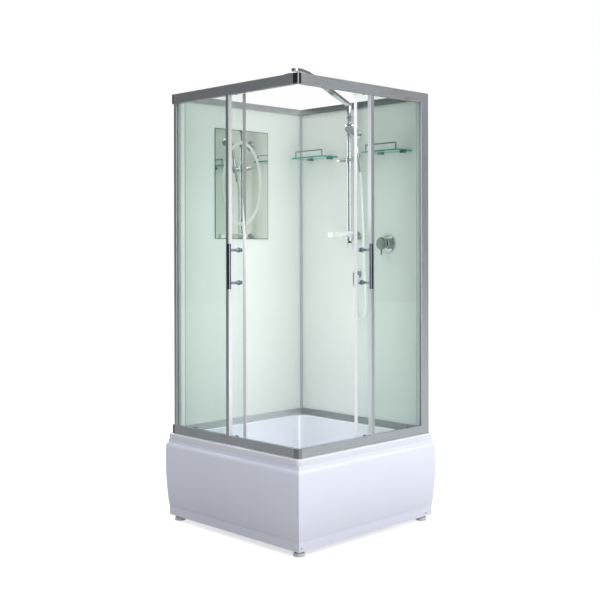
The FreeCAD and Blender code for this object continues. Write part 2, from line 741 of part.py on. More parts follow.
def apron_sections():
    """The apron's outer section and the section of the space behind it, from the middle outwards and up."""
    top = d.tub_height - d.rim_drop
    swell = apron_bulge - apron_flange - d.apron_flange_step
    climb = apron_widest - d.apron_flange_top
    bow = (climb * climb + swell * swell) / (2 * swell)
    crest_rise = apron_crest - apron_widest
    crest = apron_bulge - crest_rise * crest_rise / (2 * bow)
    back = apron_flange - d.apron_return

    def skin(wall):
        return [
            (apron_flange - wall, d.apron_flange_top),
            (apron_flange + d.apron_flange_step - wall, d.apron_flange_top),
            (crest - wall, apron_crest),
            (crest - d.apron_shoulder - wall, apron_ledge - wall),
            (apron_neck - wall, apron_ledge - wall),
            (apron_neck - wall, top - wall),
        ]

    wall = d.apron_wall
    outer = [(back, d.apron_bottom), (apron_flange, d.apron_bottom)] + skin(as_size(0)) + [(back, top)]
    low = d.apron_bottom - d.overrun
    deep = back - d.overrun
    lip = apron_neck - d.apron_top_lip
    inner = [(deep, low), (apron_flange - wall, low)] + skin(wall)
    inner += [(lip, top - wall), (lip, top + d.overrun), (deep, top + d.overrun)]
    arcs = {3: (1, bow), 4: (1, d.apron_shoulder_bow)}
    inner_arcs = {3: (1, bow - wall), 4: (1, d.apron_shoulder_bow - wall)}
    return outer, arcs, inner, inner_arcs


def screw_spots():
    """Where the apron screws sit: the side of the tub and the place along it."""
    inset = d.tub_half - d.screw_inset
    return [("left", inset), ("left", -inset), ("right", inset), ("right", d.screw_corner_inset - d.tub_half)]


def apron_axis(side):
    """The way out of the tub on one apron's side."""
    return -Y if side == "left" else X


def apron_spot(side, out, along, height):
    """A place given by its distance out of the tub, along the apron and above the floor."""
    return (along, -out, height) if side == "left" else (out, along, height)


def make_apron(side):
    """One apron panel: a bulging thin wall, mitred at the front corner and closed at its wall end."""
    label = f"apron_{side}"
    outer_section, arcs, inner_section, inner_arcs = apron_sections()
    reach = apron_bulge + d.tub_half
    far = apron_bulge + d.overrun
    if side == "left":
        start = (apron_bulge, 0, 0)
        inner_start = (far, 0, 0)
        mitre_plan = [(0, 0), (far, -far), (far, 0)]
    else:
        start = (0, d.tub_half, 0)
        inner_start = (0, d.tub_half - d.apron_wall, 0)
        mitre_plan = [(0, 0), (0, -far), (far, -far)]
    rotation = turn(apron_axis(side), Z)
    outer = extruded(label + "_outer", [outer_section], reach, start, rotation, arcs)
    inner_reach = reach + d.overrun - d.apron_wall
    inner = extruded(label + "_inner", [inner_section], inner_reach, inner_start, rotation, inner_arcs)
    mitre = extruded(label + "_mitre", [mitre_plan], d.tub_height, (0, 0, 0))
    tools = [inner, mitre]
    for number, (screw_side, along) in enumerate(screw_spots()):
        if screw_side == side:
            spot = apron_spot(side, apron_flange - d.apron_wall - d.overrun, along, d.screw_height)
            length = d.apron_wall + 2 * d.overrun
            radius = d.screw_shank + d.seat_gap
            tools.append(rod(f"{label}_hole{number}", spot, radius, length, aim(apron_axis(side))))
    keep(cut(label + "_cut", outer, tools), label)


def make_apron_fixings():
    """The chrome screws in the aprons' flanges and the steel brackets behind them."""
    screws = []
    brackets = []
    inner_face = apron_flange - d.apron_wall
    beam_face = foot_place + d.beam / 2
    leg_low = d.screw_height - d.bracket_width / 2
    for number, (side, along) in enumerate(screw_spots()):
        outline = [
            (0, -d.screw_length),
            (d.screw_shank, -d.screw_length),
            (d.screw_shank, 0),
            (d.screw_head, 0),
            (d.screw_head, d.screw_head_drop / 2),
            (d.screw_head / 2, d.screw_head_drop),
            (0, d.screw_head_drop),
        ]
        away = apron_axis(side)
        spot = apron_spot(side, apron_flange, along, d.screw_height)
        screws.append(turned(f"screw{number}", outline, spot, turn(Z, away)))
        section = [
            (beam_face - d.bracket_grip, beam_low - d.bracket_sheet),
            (inner_face - d.bracket_sheet, beam_low - d.bracket_sheet),
            (inner_face - d.bracket_sheet, leg_low),
            (inner_face, leg_low),
            (inner_face, beam_low),
            (beam_face - d.bracket_grip, beam_low),
        ]
        shift = d.bracket_width / 2
        start = apron_spot(side, 0, along + shift, 0)
        plate = extruded(f"bracket{number}_plate", [section], d.bracket_width, start, turn(away, Z))
        hole_spot = apron_spot(side, inner_face - d.bracket_sheet - d.overrun, along, d.screw_height)
        hole_length = d.bracket_sheet + 2 * d.overrun
        hole = rod(f"bracket{number}_hole", hole_spot, d.screw_shank + d.seat_gap, hole_length, aim(away))
        brackets.append(cut(f"bracket{number}", plate, [hole]))
    keep(group("screws", screws), "apron_screws")
    keep(group("brackets", brackets), "apron_brackets")


def steel_tube(name, length, spot, rotation=None):
    """A square steel tube that runs along its own Z."""
    return extruded(name, [square(d.beam / 2), square(d.beam / 2 - d.beam_wall)], length, spot, rotation)


def make_tray_frame():
    """The welded steel frame: two long beams, three cross beams and four posts under the rim."""
    middle = beam_low + d.beam / 2
    reach = foot_place + d.beam / 2
    inner = foot_place - d.beam / 2
    tubes = []
    for number, side in enumerate((-1, 1)):
        tubes.append(steel_tube(f"long_beam{number}", 2 * reach, (side * foot_place, -reach, middle), aim(Y)))
        for end in (-1, 1):
            spot = (side * foot_place, end * foot_place, beam_top)
            length = d.tub_height - d.tub_wall - beam_top
            tubes.append(steel_tube(f"post{number}{end + 1}", length, spot))
    for number, along in enumerate((-1, 0, 1)):
        spot = (-inner, along * foot_place, middle)
        tubes.append(steel_tube(f"cross_beam{number}", 2 * inner, spot, aim(X)))
    keep(group("tubes", tubes), "tray_frame")


def make_feet():
    """Five levelling feet: a pad on the floor and a threaded stud with its lock nut under the beam."""
    pads = []
    studs = []
    top = d.foot_drop + d.foot_boss_drop
    pad_outline = [
        (0, 0),
        (d.foot_radius, 0),
        (d.foot_radius, d.foot_drop / 2),
        (d.foot_radius - d.foot_drop / 2, d.foot_drop),
        (d.foot_boss, d.foot_drop),
        (d.foot_boss, top),
        (0, top),
    ]
    stud_outline = [
        (0, 0),
        (d.stud_radius, 0),
        (d.stud_radius, beam_low - top - d.nut_drop),
        (d.nut_radius, beam_low - top - d.nut_drop),
        (d.nut_radius, beam_low - top),
        (0, beam_low - top),
    ]
    corners = [(x, y) for x in (-1, 1) for y in (-1, 1)]
    for number, (x, y) in enumerate(corners + [(0, 0)]):
        spot = (x * foot_place, y * foot_place)
        pads.append(turned(f"pad{number}", pad_outline, (*spot, 0), turn(X, Z)))
        studs.append(turned(f"stud{number}", stud_outline, (*spot, top), turn(X, Z)))
    keep(group("pads", pads), "foot_pads")
    keep(group("studs", studs), "foot_studs")


def make_waste():
    """The drain's chrome cover, and the trap below the basin with its outlet pipe and collar."""
    cover_outline = [
        (0, 0),
        (d.waste_cover, 0),
        (d.waste_cover, d.waste_cover_drop * PLATE_EDGE_SHARE),
        (d.waste_cover / 2, d.waste_cover_drop),
        (0, d.waste_cover_drop),
    ]
    spot = (waste_place, -waste_place, d.basin_floor)
    keep(turned("cover", cover_outline, spot, turn(X, Z)), "waste_cover")
    cup_spot = (waste_place, -waste_place, beam_top - d.trap_drop)
    cup = rod("trap_cup", cup_spot, d.trap_radius, d.trap_drop)
    neck = rod("trap_neck", (waste_place, -waste_place, beam_top), d.waste_neck, d.tub_wall)
    pipe_spot = (waste_place, -waste_place, beam_top - d.outlet_pipe_drop)
    pipe = rod("trap_pipe", pipe_spot, d.outlet_pipe, d.outlet_pipe_reach, aim(-X))
    collar = rod("trap_collar", pipe_spot, d.outlet_collar, d.outlet_collar_reach, aim(-X))
    keep(fuse("trap", [cup, neck, pipe, collar]), "waste_trap")


# Aluminium frame and fixed walls

def top_rail_section():
    """Top rail, from its outer face inwards: pane pocket, roller track and two closed chambers."""
    wall = d.rail_wall
    pane_in = d.pane_inset + d.pane_thick
    web = pane_in + wall
    high = d.top_rail
    deep = d.rail_depth
    outline = [
        (0, 0),
        (d.pane_inset, 0),
        (d.pane_inset, d.pocket),
        (pane_in, d.pocket),
        (pane_in, 0),
        (d.track_reach, 0),
        (d.track_reach, wall),
        (web, wall),
        (web, high - wall),
        (deep - d.lip, high - wall),
        (deep - d.lip, high - d.top_lip),
        (deep, high - d.top_lip),
        (deep, high),
        (0, high),
    ]
    front_chamber = rectangle(wall, wall, d.pane_inset - wall, d.pocket)
    upper_chamber = rectangle(wall, d.pocket + wall, pane_in, high - wall)
    return [outline, front_chamber, upper_chamber]


def bottom_rail_section():
    """Bottom rail, from its outer face inwards: pane pocket, guide track and an open trough."""
    wall = d.rail_wall
    pane_in = d.pane_inset + d.pane_thick
    web = pane_in + wall
    high = d.bottom_rail
    deep = d.rail_depth
    pocket_floor = high - d.pocket
    outline = [
        (0, 0),
        (deep, 0),
        (deep, d.bottom_lip),
        (deep - d.lip, d.bottom_lip),
        (deep - d.lip, wall),
        (web, wall),
        (web, d.track_drop),
        (d.track_reach, d.track_drop),
        (d.track_reach, d.track_drop + wall),
        (web, d.track_drop + wall),
        (web, high),
        (pane_in, high),
        (pane_in, pocket_floor),
        (d.pane_inset, pocket_floor),
        (d.pane_inset, high),
        (0, high),
    ]
    lower_chamber = rectangle(wall, wall, pane_in, pocket_floor - wall)
    front_chamber = rectangle(wall, pocket_floor, d.pane_inset - wall, high - wall)
    return [outline, lower_chamber, front_chamber]


def make_door_rails():
    """Top and bottom rails of both door sides."""
    left_length = rail_back + rail_end
    right_start = d.corner_face - frame_half
    right_length = post_start - right_start
    levels = (("top", top_rail_section(), door_high), ("bottom", bottom_rail_section(), d.tub_height))
    for level, section, low in levels:
        left_spot = (-rail_end, -frame_half, low)
        right_spot = (frame_half, right_start, low)
        left = extruded(f"{level}_left", section, left_length, left_spot, turn(Y, Z))
        right = extruded(f"{level}_right", section, right_length, right_spot, turn(-X, Z))
        keep(left, f"rail_{level}_left")
        keep(right, f"rail_{level}_right")


def make_rail_ends():
    """Chrome connectors at the front corner and chrome caps on the rails' far ends."""
    connectors = []
    caps = []
    curve = d.connector_round
    long_side = d.rail_depth + d.proud
    short_side = d.corner_face + d.proud
    connector_plan = [
        (0, 0),
        (long_side - curve, 0),
        (long_side, curve),
        (long_side, short_side),
        (0, short_side),
    ]
    cap_plan = [
        (0, curve),
        (curve, 0),
        (d.cap_length, 0),
        (d.cap_length, d.rail_depth + d.proud),
        (0, d.rail_depth + d.proud),
    ]
    for level, low, height in (("top", door_high, d.top_rail), ("bottom", d.tub_height, d.bottom_rail)):
        spot = (rail_back, -frame_half - d.proud, low)
        arcs = {1: (1, curve)}
        connectors.append(extruded(f"connector_{level}", [connector_plan], height, spot, None, arcs))
        spot = (-wall_end, -frame_half - d.proud, low)
        caps.append(extruded(f"cap_{level}", [cap_plan], height, spot, None, {0: (1, curve)}))
    keep(group("connectors", connectors), "corner_connectors")
    keep(group("caps", caps), "end_caps")


def make_uprights():
    """Slim wall channel, wide wall post and back corner, each with grooves for the glass and the walls."""
    pane_in = d.pane_inset + d.pane_thick
    width = d.channel_width
    deep = d.rail_depth
    groove = d.groove
    wall_low = rail_end - wall_back
    wall_high = rail_end - wall_half
    channel_plan = [
        (0, 0),
        (width, 0),
        (width, d.pane_inset),
        (width - groove, d.pane_inset),
        (width - groove, pane_in),
        (width, pane_in),
        (width, deep),
        (wall_high, deep),
        (wall_high, deep - groove),
        (wall_low, deep - groove),
        (wall_low, deep),
        (0, deep),
    ]
    channel = extruded("channel", [channel_plan], door_span, (-rail_end, -frame_half, door_low))
    keep(channel, "wall_channel")
    pane_low = deep - pane_in
    pane_high = deep - d.pane_inset
    slot_low = wall_half - post_start
    slot_high = wall_back - post_start
    post_plan = [
        (0, 0),
        (pane_low, 0),
        (pane_low, groove),
        (pane_high, groove),
        (pane_high, 0),
        (deep, 0),
        (deep, d.post_width),
        (0, d.post_width),
        (0, slot_high),
        (groove, slot_high),
        (groove, slot_low),
        (0, slot_low),
    ]
    wall = d.rail_wall
    chamber = rectangle(groove + wall, groove + 2 * wall, deep - wall, d.post_width - wall)
    full_height = frame_top - d.tub_height
    post = extruded("post", [post_plan, chamber], full_height, (rail_back, post_start, d.tub_height))
    keep(post, "wall_post")
    deep = d.back_depth
    near = deep / 2 - d.pane_thick
    middle = deep / 2
    corner_plan = [
        (0, 0),
        (near, 0),
        (near, groove),
        (middle, groove),
        (middle, 0),
        (deep, 0),
        (deep, middle),
        (deep - groove, middle),
        (deep - groove, middle + d.pane_thick),
        (deep, middle + d.pane_thick),
        (deep, deep),
        (0, deep),
    ]
    keep(extruded("corner", [corner_plan], full_height, (-back_out, back_in, d.tub_height)), "back_corner")


def make_back_rails():
    """Rails that hold the two solid walls at the tub and at the top."""
    deep = d.back_depth
    high = d.back_rail
    near = deep / 2 - d.pane_thick
    middle = deep / 2
    groove = d.groove
    low_section = [
        (0, 0), (deep, 0), (deep, high), (middle, high), (middle, high - groove), (near, high - groove),
        (near, high), (0, high),
    ]
    high_section = [
        (0, 0), (near, 0), (near, groove), (middle, groove), (middle, 0), (deep, 0), (deep, high), (0, high),
    ]
    length = rail_back + back_in
    levels = (("low", low_section, d.tub_height), ("high", high_section, frame_top - high))
    left = []
    right = []
    for level, section, low in levels:
        left_spot = (-back_out, back_in, low)
        right_spot = (rail_back, back_out, low)
        left.append(extruded(f"back_{level}_left", [section], length, left_spot, turn(X, Z)))
        right.append(extruded(f"back_{level}_right", [section], length, right_spot, turn(-Y, Z)))
    keep(group("back_left", left), "back_rails_left")
    keep(group("back_right", right), "back_rails_right")


def make_walls():
    """The two solid walls, the right one with holes for the fittings."""
    low = d.tub_height + d.back_rail - d.groove + d.seat_gap
    high = frame_top - d.back_rail + d.groove - d.seat_gap
    hold = d.groove - d.seat_gap
    left = box("wall_left", (-wall_back, -rail_back - hold, low), (-wall_half, back_in + hold, high))
    keep(left, "wall_panel_left")
    right = box("wall_right", (-back_in - hold, wall_half, low), (rail_back + hold, wall_back, high))
    start = wall_half - d.overrun
    length = d.pane_thick + 2 * d.overrun
    stub_hole = d.stub_radius + d.seat_gap
    valve_hole = d.valve_radius + d.seat_gap
    holes = [
        rod("wall_hole_base", (0, start, base_middle), stub_hole, length, aim(Y)),
        rod("wall_hole_outlet", (0, start, outlet_height), stub_hole, length, aim(Y)),
        rod("wall_hole_mixer", (d.mixer_place, start, mixer_height), valve_hole, length, aim(Y)),
    ]
    keep(cut("wall_right_cut", right, holes), "wall_panel_right")


def make_panes():
    """The two fixed panes and the profiles on their free edges."""
    low = door_low - d.pocket + d.seat_gap
    high = door_high + d.pocket - d.seat_gap
    hold = d.groove - d.seat_gap
    pane_out = frame_half - d.pane_inset
    pane_in = pane_out - d.pane_thick
    left_start = d.channel_width - rail_end - hold
    keep(box("left_pane", (left_start, -pane_out, low), (hold - d.stile_left, -pane_in, high)), "pane_left")
    right_start = d.stile_right + d.stile_width - hold
    keep(box("right_pane", (pane_in, right_start, low), (pane_out, post_start + hold, high)), "pane_right")
    width = d.stile_width
    deep = d.stile_depth
    slot_low = d.pane_inset
    slot_high = d.pane_inset + d.pane_thick
    left_plan = [
        (0, 0), (width, 0), (width, deep), (0, deep), (0, slot_high), (d.groove, slot_high),
        (d.groove, slot_low), (0, slot_low),
    ]
    right_plan = [
        (0, 0), (deep, 0), (deep, width), (deep - slot_low, width), (deep - slot_low, width - d.groove),
        (deep - slot_high, width - d.groove), (deep - slot_high, width), (0, width),
    ]
    left = extruded("stile_left", [left_plan], door_span, (-d.stile_left, -frame_half, door_low))
    right = extruded("stile_right", [right_plan], door_span, (frame_half - deep, d.stile_right, door_low))
    keep(group("stiles", [left, right]), "pane_stiles")


# Sliding doors

def door_spot(side, back, depth, height):
    """A place on a door: back from its leading glass edge, in from the frame's face, above the floor."""
    if side == "left":
        return (door_edge_left - back, depth - frame_half, height)
    return (frame_half - depth, back - door_edge_right, height)


def door_turn(side):
    """The rotation that lays a piece's own Y along the way into the cabin."""
    return turn(X, Y) if side == "left" else turn(Y, -X)


def door_inward(side):
    """The way into the cabin through a door."""
    return Y if side == "left" else -X


def door_pane(name, side, back, depth, low, high):
    """A block on a door, from pairs of places back from the edge and in from the frame's face."""
    first = door_spot(side, back[0], depth[0], low)
    second = door_spot(side, back[1], depth[1], high)
    return box(name, (second[0], first[1], low), (first[0], second[1], high))


def roller_outline(head_radius, head_drop):
    """A roller's bolt with its chrome cap, spacer, axle and head, from the frame's face inwards."""
    glass_out = d.door_inset
    glass_in = d.door_inset + d.pane_thick
    spacer = glass_out - d.spacer_drop
    head_start = d.pane_inset + d.pane_thick + d.rail_wall + d.seat_gap
    cap_end = glass_in + d.roller_cap_drop
    return [
        (0, head_start),
        (head_radius, head_start),
        (head_radius, head_start + head_drop),
        (d.axle_radius, head_start + head_drop),
        (d.axle_radius, spacer),
        (d.spacer_radius, spacer),
        (d.spacer_radius, glass_out),
        (d.bolt_radius, glass_out),
        (d.bolt_radius, glass_in),
        (d.roller_cap, glass_in),
        (d.roller_cap, glass_in + d.roller_cap_drop / 2),
        (d.roller_cap - d.roller_cap_drop / 2, cap_end),
        (0, cap_end),
    ]


def make_door(side):
    """One sliding door: glass, edge seal, rollers with their wheels, bottom guides and handle."""
    glass_low = d.tub_height + d.door_dip
    glass_high = door_high + d.door_rise
    glass_out = d.door_inset
    glass_in = d.door_inset + d.pane_thick
    roller_height = door_high + d.rail_wall + d.wheel_radius + d.seat_gap
    guide_height = d.tub_height + d.track_drop + d.rail_wall + d.wheel_radius + d.seat_gap
    glass = door_pane(f"{side}_glass", side, (0, door_width), (glass_out, glass_in), glass_low, glass_high)
    backs = (d.roller_front, roller_rear)
    fixings = [(back, height) for back in backs for height in (roller_height, guide_height)]
    grips = [handle_middle + step * d.handle_pitch / 2 for step in (-1, 1)]
    fixings += [(d.handle_place, height) for height in grips]
    holes = []
    for number, (back, height) in enumerate(fixings):
        spot = door_spot(side, back, glass_out - d.overrun, height)
        length = d.pane_thick + 2 * d.overrun
        radius = d.bolt_radius + d.seat_gap
        holes.append(rod(f"{side}_glass_hole{number}", spot, radius, length, aim(door_inward(side))))
    keep(cut(f"{side}_glass_cut", glass, holes), f"{side}_door_glass")
    make_seal(side)
    wheel_width = d.wheel_width
    wheel_start = glass_out - d.spacer_drop - wheel_width - d.seat_gap
    head_drop = d.axle_head_drop
    carriers = []
    facing = door_turn(side)
    for number, back in enumerate(backs):
        roller = roller_outline(d.axle_head, head_drop)
        roller_spot = door_spot(side, back, 0, roller_height)
        carriers.append(turned(f"{side}_roller{number}", roller, roller_spot, facing))
        guide = roller_outline(d.wheel_radius, wheel_width)
        guide_spot = door_spot(side, back, 0, guide_height)
        carriers.append(turned(f"{side}_guide{number}", guide, guide_spot, facing))
        bore = d.axle_radius + d.axle_clearance
        edge = wheel_width * EDGE_SHARE
        wheel = [
            (bore, 0),
            (d.wheel_radius - edge, 0),
            (d.wheel_radius, edge),
            (d.wheel_radius, wheel_width - edge),
            (d.wheel_radius - edge, wheel_width),
            (bore, wheel_width),
        ]
        name = "front" if number == 0 else "rear"
        spot = door_spot(side, back, wheel_start, roller_height)
        keep(turned(f"{side}_wheel{number}", wheel, spot, facing), f"{side}_wheel_{name}")
    keep(group(f"{side}_carriers", carriers), f"{side}_door_rollers")
    make_handle(side, grips)


def make_seal(side):
    """The clear seal on a door's leading edge, bevelled so that both doors close at the corner."""
    thick = d.seal_thick
    half = thick / 2
    slot = d.pane_thick / 2
    reach = d.seal_grip + d.seal_nose
    plan = [
        (0, 0), (reach + half, 0), (reach - half, thick), (0, thick), (0, half + slot),
        (d.seal_grip, half + slot), (d.seal_grip, half - slot), (0, half - slot),
    ]
    low = door_low + d.seal_end_gap
    height = door_span - 2 * d.seal_end_gap
    if side == "left":
        spot = (door_edge_left - d.seal_grip, -door_plane - half, low)
    else:
        plan = [(thick - y, reach + half - x) for x, y in plan]
        spot = (door_plane - half, -door_edge_right - d.seal_nose - half, low)
    keep(extruded(f"{side}_seal", [plan], height, spot), f"{side}_door_seal")


def make_handle(side, grips):
    """A door handle: a flat bar outside, two posts through the glass, collars and inner knobs."""
    inward = door_inward(side)
    bar_in = d.door_inset - d.handle_reach
    bar_out = bar_in - d.handle_thick
    half = d.handle_width / 2
    curve = d.handle_round
    bar_plan = [
        (curve - half, 0), (half - curve, 0), (half, curve), (half, d.handle_thick - curve),
        (half - curve, d.handle_thick), (curve - half, d.handle_thick), (-half, d.handle_thick - curve),
        (-half, curve),
    ]
    arcs = {1: (1, curve), 3: (1, curve), 5: (1, curve), 7: (1, curve)}
    spot = door_spot(side, d.handle_place, bar_out, handle_middle - d.handle_length / 2)
    bar = extruded(f"{side}_bar", [bar_plan], d.handle_length, spot, door_turn(side), arcs)
    pieces = [bar]
    knobs = []
    glass_in = d.door_inset + d.pane_thick
    levels = [d.handle_knob_drop * share for share in KNOB_LEVEL_SHARES]
    knob_end = d.handle_collar * KNOB_END_SHARE
    knob_outline = [
        (0, 0),
        (d.handle_collar, 0),
        (d.handle_collar, levels[0]),
        (d.handle_post, levels[1]),
        (d.handle_post, levels[2]),
        (knob_end, levels[3]),
        (knob_end, d.handle_knob_drop),
        (0, d.handle_knob_drop),
    ]
    for number, height in enumerate(grips):
        post_spot = door_spot(side, d.handle_place, bar_in - d.handle_thick / 2, height)
        post_length = d.handle_reach + d.handle_thick / 2
        pieces.append(rod(f"{side}_post{number}", post_spot, d.handle_post, post_length, aim(inward)))
        collar_name = f"{side}_collar{number}"
        collar_long = d.handle_collar_drop
        collar_spot = door_spot(side, d.handle_place, d.door_inset - collar_long, height)
        collar = cone(collar_name, collar_spot, d.handle_post, d.handle_collar, collar_long, aim(inward))
        pieces.append(collar)
        bolt_spot = door_spot(side, d.handle_place, d.door_inset, height)
        pieces.append(rod(f"{side}_bolt{number}", bolt_spot, d.bolt_radius, d.pane_thick, aim(inward)))
        knob_spot = door_spot(side, d.handle_place, glass_in, height)
        knobs.append(turned(f"{side}_knob{number}", knob_outline, knob_spot, door_turn(side)))
    handle = fuse(f"{side}_bar_posts", pieces)
    keep(group(f"{side}_handle", [handle] + knobs), f"{side}_door_handle")


# Mirror and shelves

def make_mirror():
    """The mirror on the left wall."""
    half = d.mirror_width / 2
    low = (-wall_half, -d.mirror_shift - half, mirror_low)
    high = (d.mirror_thick - wall_half, half - d.mirror_shift, mirror_low + d.mirror_height)
    keep(box("mirror_glass", low, high), "mirror")


def make_shelves():
    """Two glass shelves, each in two wall clamps and with a gallery rail."""
    glasses = []
    fittings = []
    curve = d.shelf_corner
    long_side = d.shelf_length
    deep = d.shelf_reach
    plan = [
        (curve, 0), (long_side - curve, 0), (long_side, curve), (long_side, deep), (0, deep), (0, curve),
    ]
    front = wall_half - d.shelf_gap - deep
    slot = d.clamp_reach - d.shelf_gap
    lip = d.clamp_lip
    clamp_high = 2 * lip + d.shelf_thick
    clamp_section = [
        (0, 0), (d.clamp_reach, 0), (d.clamp_reach, clamp_high), (0, clamp_high), (0, lip + d.shelf_thick),
        (slot, lip + d.shelf_thick), (slot, lip), (0, lip),
    ]
    rail_y = front + d.gallery_set
    glass_top = shelf_height + d.shelf_thick
    rail_z = glass_top + d.gallery_height
    for number, middle in enumerate((-shelf_left, shelf_right)):
        spot = (middle - long_side / 2, front, shelf_height)
        arcs = {1: (1, curve), 5: (1, curve)}
        glasses.append(extruded(f"shelf{number}", [plan], d.shelf_thick, spot, None, arcs))
        for end in (-1, 1):
            clamp_x = middle + end * d.bracket_half - d.clamp_width / 2
            clamp_spot = (clamp_x, wall_half - d.clamp_reach, shelf_height - lip)
            name = f"clamp{number}{end + 1}"
            fittings.append(extruded(name, [clamp_section], d.clamp_width, clamp_spot, turn(Y, Z)))
        pieces = []
        for end in (-1, 1):
            post = (middle + end * d.gallery_half, rail_y, glass_top)
            pieces.append(rod(f"gallery_post{number}{end + 1}", post, d.gallery_rod, d.gallery_height))
            pieces.append(rod(f"gallery_foot{number}{end + 1}", post, d.gallery_foot, d.gallery_foot_drop))
            pieces.append(ball(f"gallery_bend{number}{end + 1}", (post[0], rail_y, rail_z), d.gallery_rod))
        bar_spot = (middle - d.gallery_half, rail_y, rail_z)
        pieces.append(rod(f"gallery_bar{number}", bar_spot, d.gallery_rod, 2 * d.gallery_half, aim(X)))
        fittings.append(fuse(f"gallery{number}", pieces))
    keep(group("glasses", glasses), "shelf_glasses")
    keep(group("fittings", fittings), "shelf_fittings")


# Riser, slider and handset

def make_riser():
    """The riser pipe, the base that feeds it, the diverter knob, its rings and the upper bracket."""
    pipe_length = riser_high - riser_low
    keep(rod("riser_pipe", (0, riser_y, riser_low), d.riser_radius, pipe_length), "riser")
    body = rod("base_body", (0, riser_y, riser_low - d.base_height), d.base_radius, d.base_height)
    stub_length = d.riser_off + d.stub_out
    stub = rod("base_stub", (0, riser_y, base_middle), d.stub_radius, stub_length, aim(Y))
    rose = rod("base_rose", (0, rose_face, base_middle), d.rose_radius, d.rose_drop, aim(Y))
    keep(fuse("base", [body, stub, rose]), "riser_base")
    knob_top = riser_low - d.base_height
    high = -d.knob_neck_drop
    low = high - d.knob_drop
    edge = d.knob_radius * EDGE_SHARE
    outline = [
        (0, low), (d.knob_radius - edge, low), (d.knob_radius, low + edge), (d.knob_radius, high - edge),
        (d.knob_radius - edge, high), (d.knob_neck, high), (d.knob_neck, 0), (0, 0),
    ]
    keep(turned("diverter", outline, (0, riser_y, knob_top), turn(X, Z)), "diverter_knob")
    collar_low = riser_high - d.collar_drop
    edge = (d.collar_radius - d.riser_radius) / 2
    collar = [
        (bore_radius, 0),
        (d.collar_radius - edge, 0),
        (d.collar_radius, edge),
        (d.collar_radius, d.collar_drop - edge),
        (d.collar_radius - edge, d.collar_drop),
        (bore_radius, d.collar_drop),
    ]
    ring_low = upper_bracket - d.ring_height / 2
    ring = rod("bracket_ring", (0, riser_y, ring_low), d.ring_radius, d.ring_height)
    arm = rod("bracket_arm", (0, riser_y, upper_bracket), d.bracket_arm, d.riser_off, aim(Y))
    rose = rod("bracket_rose", (0, rose_face, upper_bracket), d.rose_radius, d.rose_drop, aim(Y))
    bore_spot = (0, riser_y, ring_low - d.overrun)
    bore = rod("bracket_bore", bore_spot, bore_radius, d.ring_height + 2 * d.overrun)
    bracket = cut("bracket", fuse("bracket_solid", [ring, arm, rose]), [bore])
    collar_ring = turned("collar", collar, (0, riser_y, collar_low), turn(X, Z))
    keep(group("riser_rings", [bracket, collar_ring]), "riser_fixings")


def make_soap_dish():
    """The clear soap dish, with a ring round the riser that rests on the riser's base."""
    middle_y = riser_y - d.dish_gap - d.dish_depth / 2
    half_width = d.dish_width / 2
    half_depth = d.dish_depth / 2

    def tray(name, shrink, low, height):
        curve = d.dish_corner - shrink
        wide = half_width - shrink
        deep = half_depth - shrink
        plan = [
            (curve - wide, -deep), (wide - curve, -deep), (wide, curve - deep), (wide, deep - curve),
            (wide - curve, deep), (curve - wide, deep), (-wide, deep - curve), (-wide, curve - deep),
        ]
        arcs = {1: (1, curve), 3: (1, curve), 5: (1, curve), 7: (1, curve)}
        return extruded(name, [plan], height, (0, middle_y, low), None, arcs)

    outer = tray("dish_outer", as_size(0), dish_low, d.dish_height)
    neck_low = riser_low
    neck = box(
        "dish_neck",
        (-d.dish_neck / 2, middle_y + half_depth - d.dish_corner * NECK_LAP_SHARE, neck_low),
        (d.dish_neck / 2, riser_y, neck_low + d.dish_bridge),
    )
    ring = rod("dish_ring", (0, riser_y, neck_low), d.ring_radius, d.dish_ring)
    bore_spot = (0, riser_y, neck_low - d.overrun)
    bore = rod("dish_bore", bore_spot, bore_radius, d.dish_ring + 2 * d.overrun)
    inner = tray("dish_inner", d.dish_wall, dish_low + d.dish_wall, d.dish_height)
    keep(cut("dish", fuse("dish_solid", [outer, neck, ring]), [inner, bore]), "soap_dish")


def hand_axis():
    """The way up the handset's handle."""
    tilt = math.radians(HAND_TILT)
    return Vector(0, -math.sin(tilt), math.cos(tilt))


def hand_spot(height):
    """A place on the handset's axis, above the slider's middle along the axis."""
    axis = hand_axis()
    return (d.hand_side, riser_y + height * axis.y, slider_height + height * axis.z)


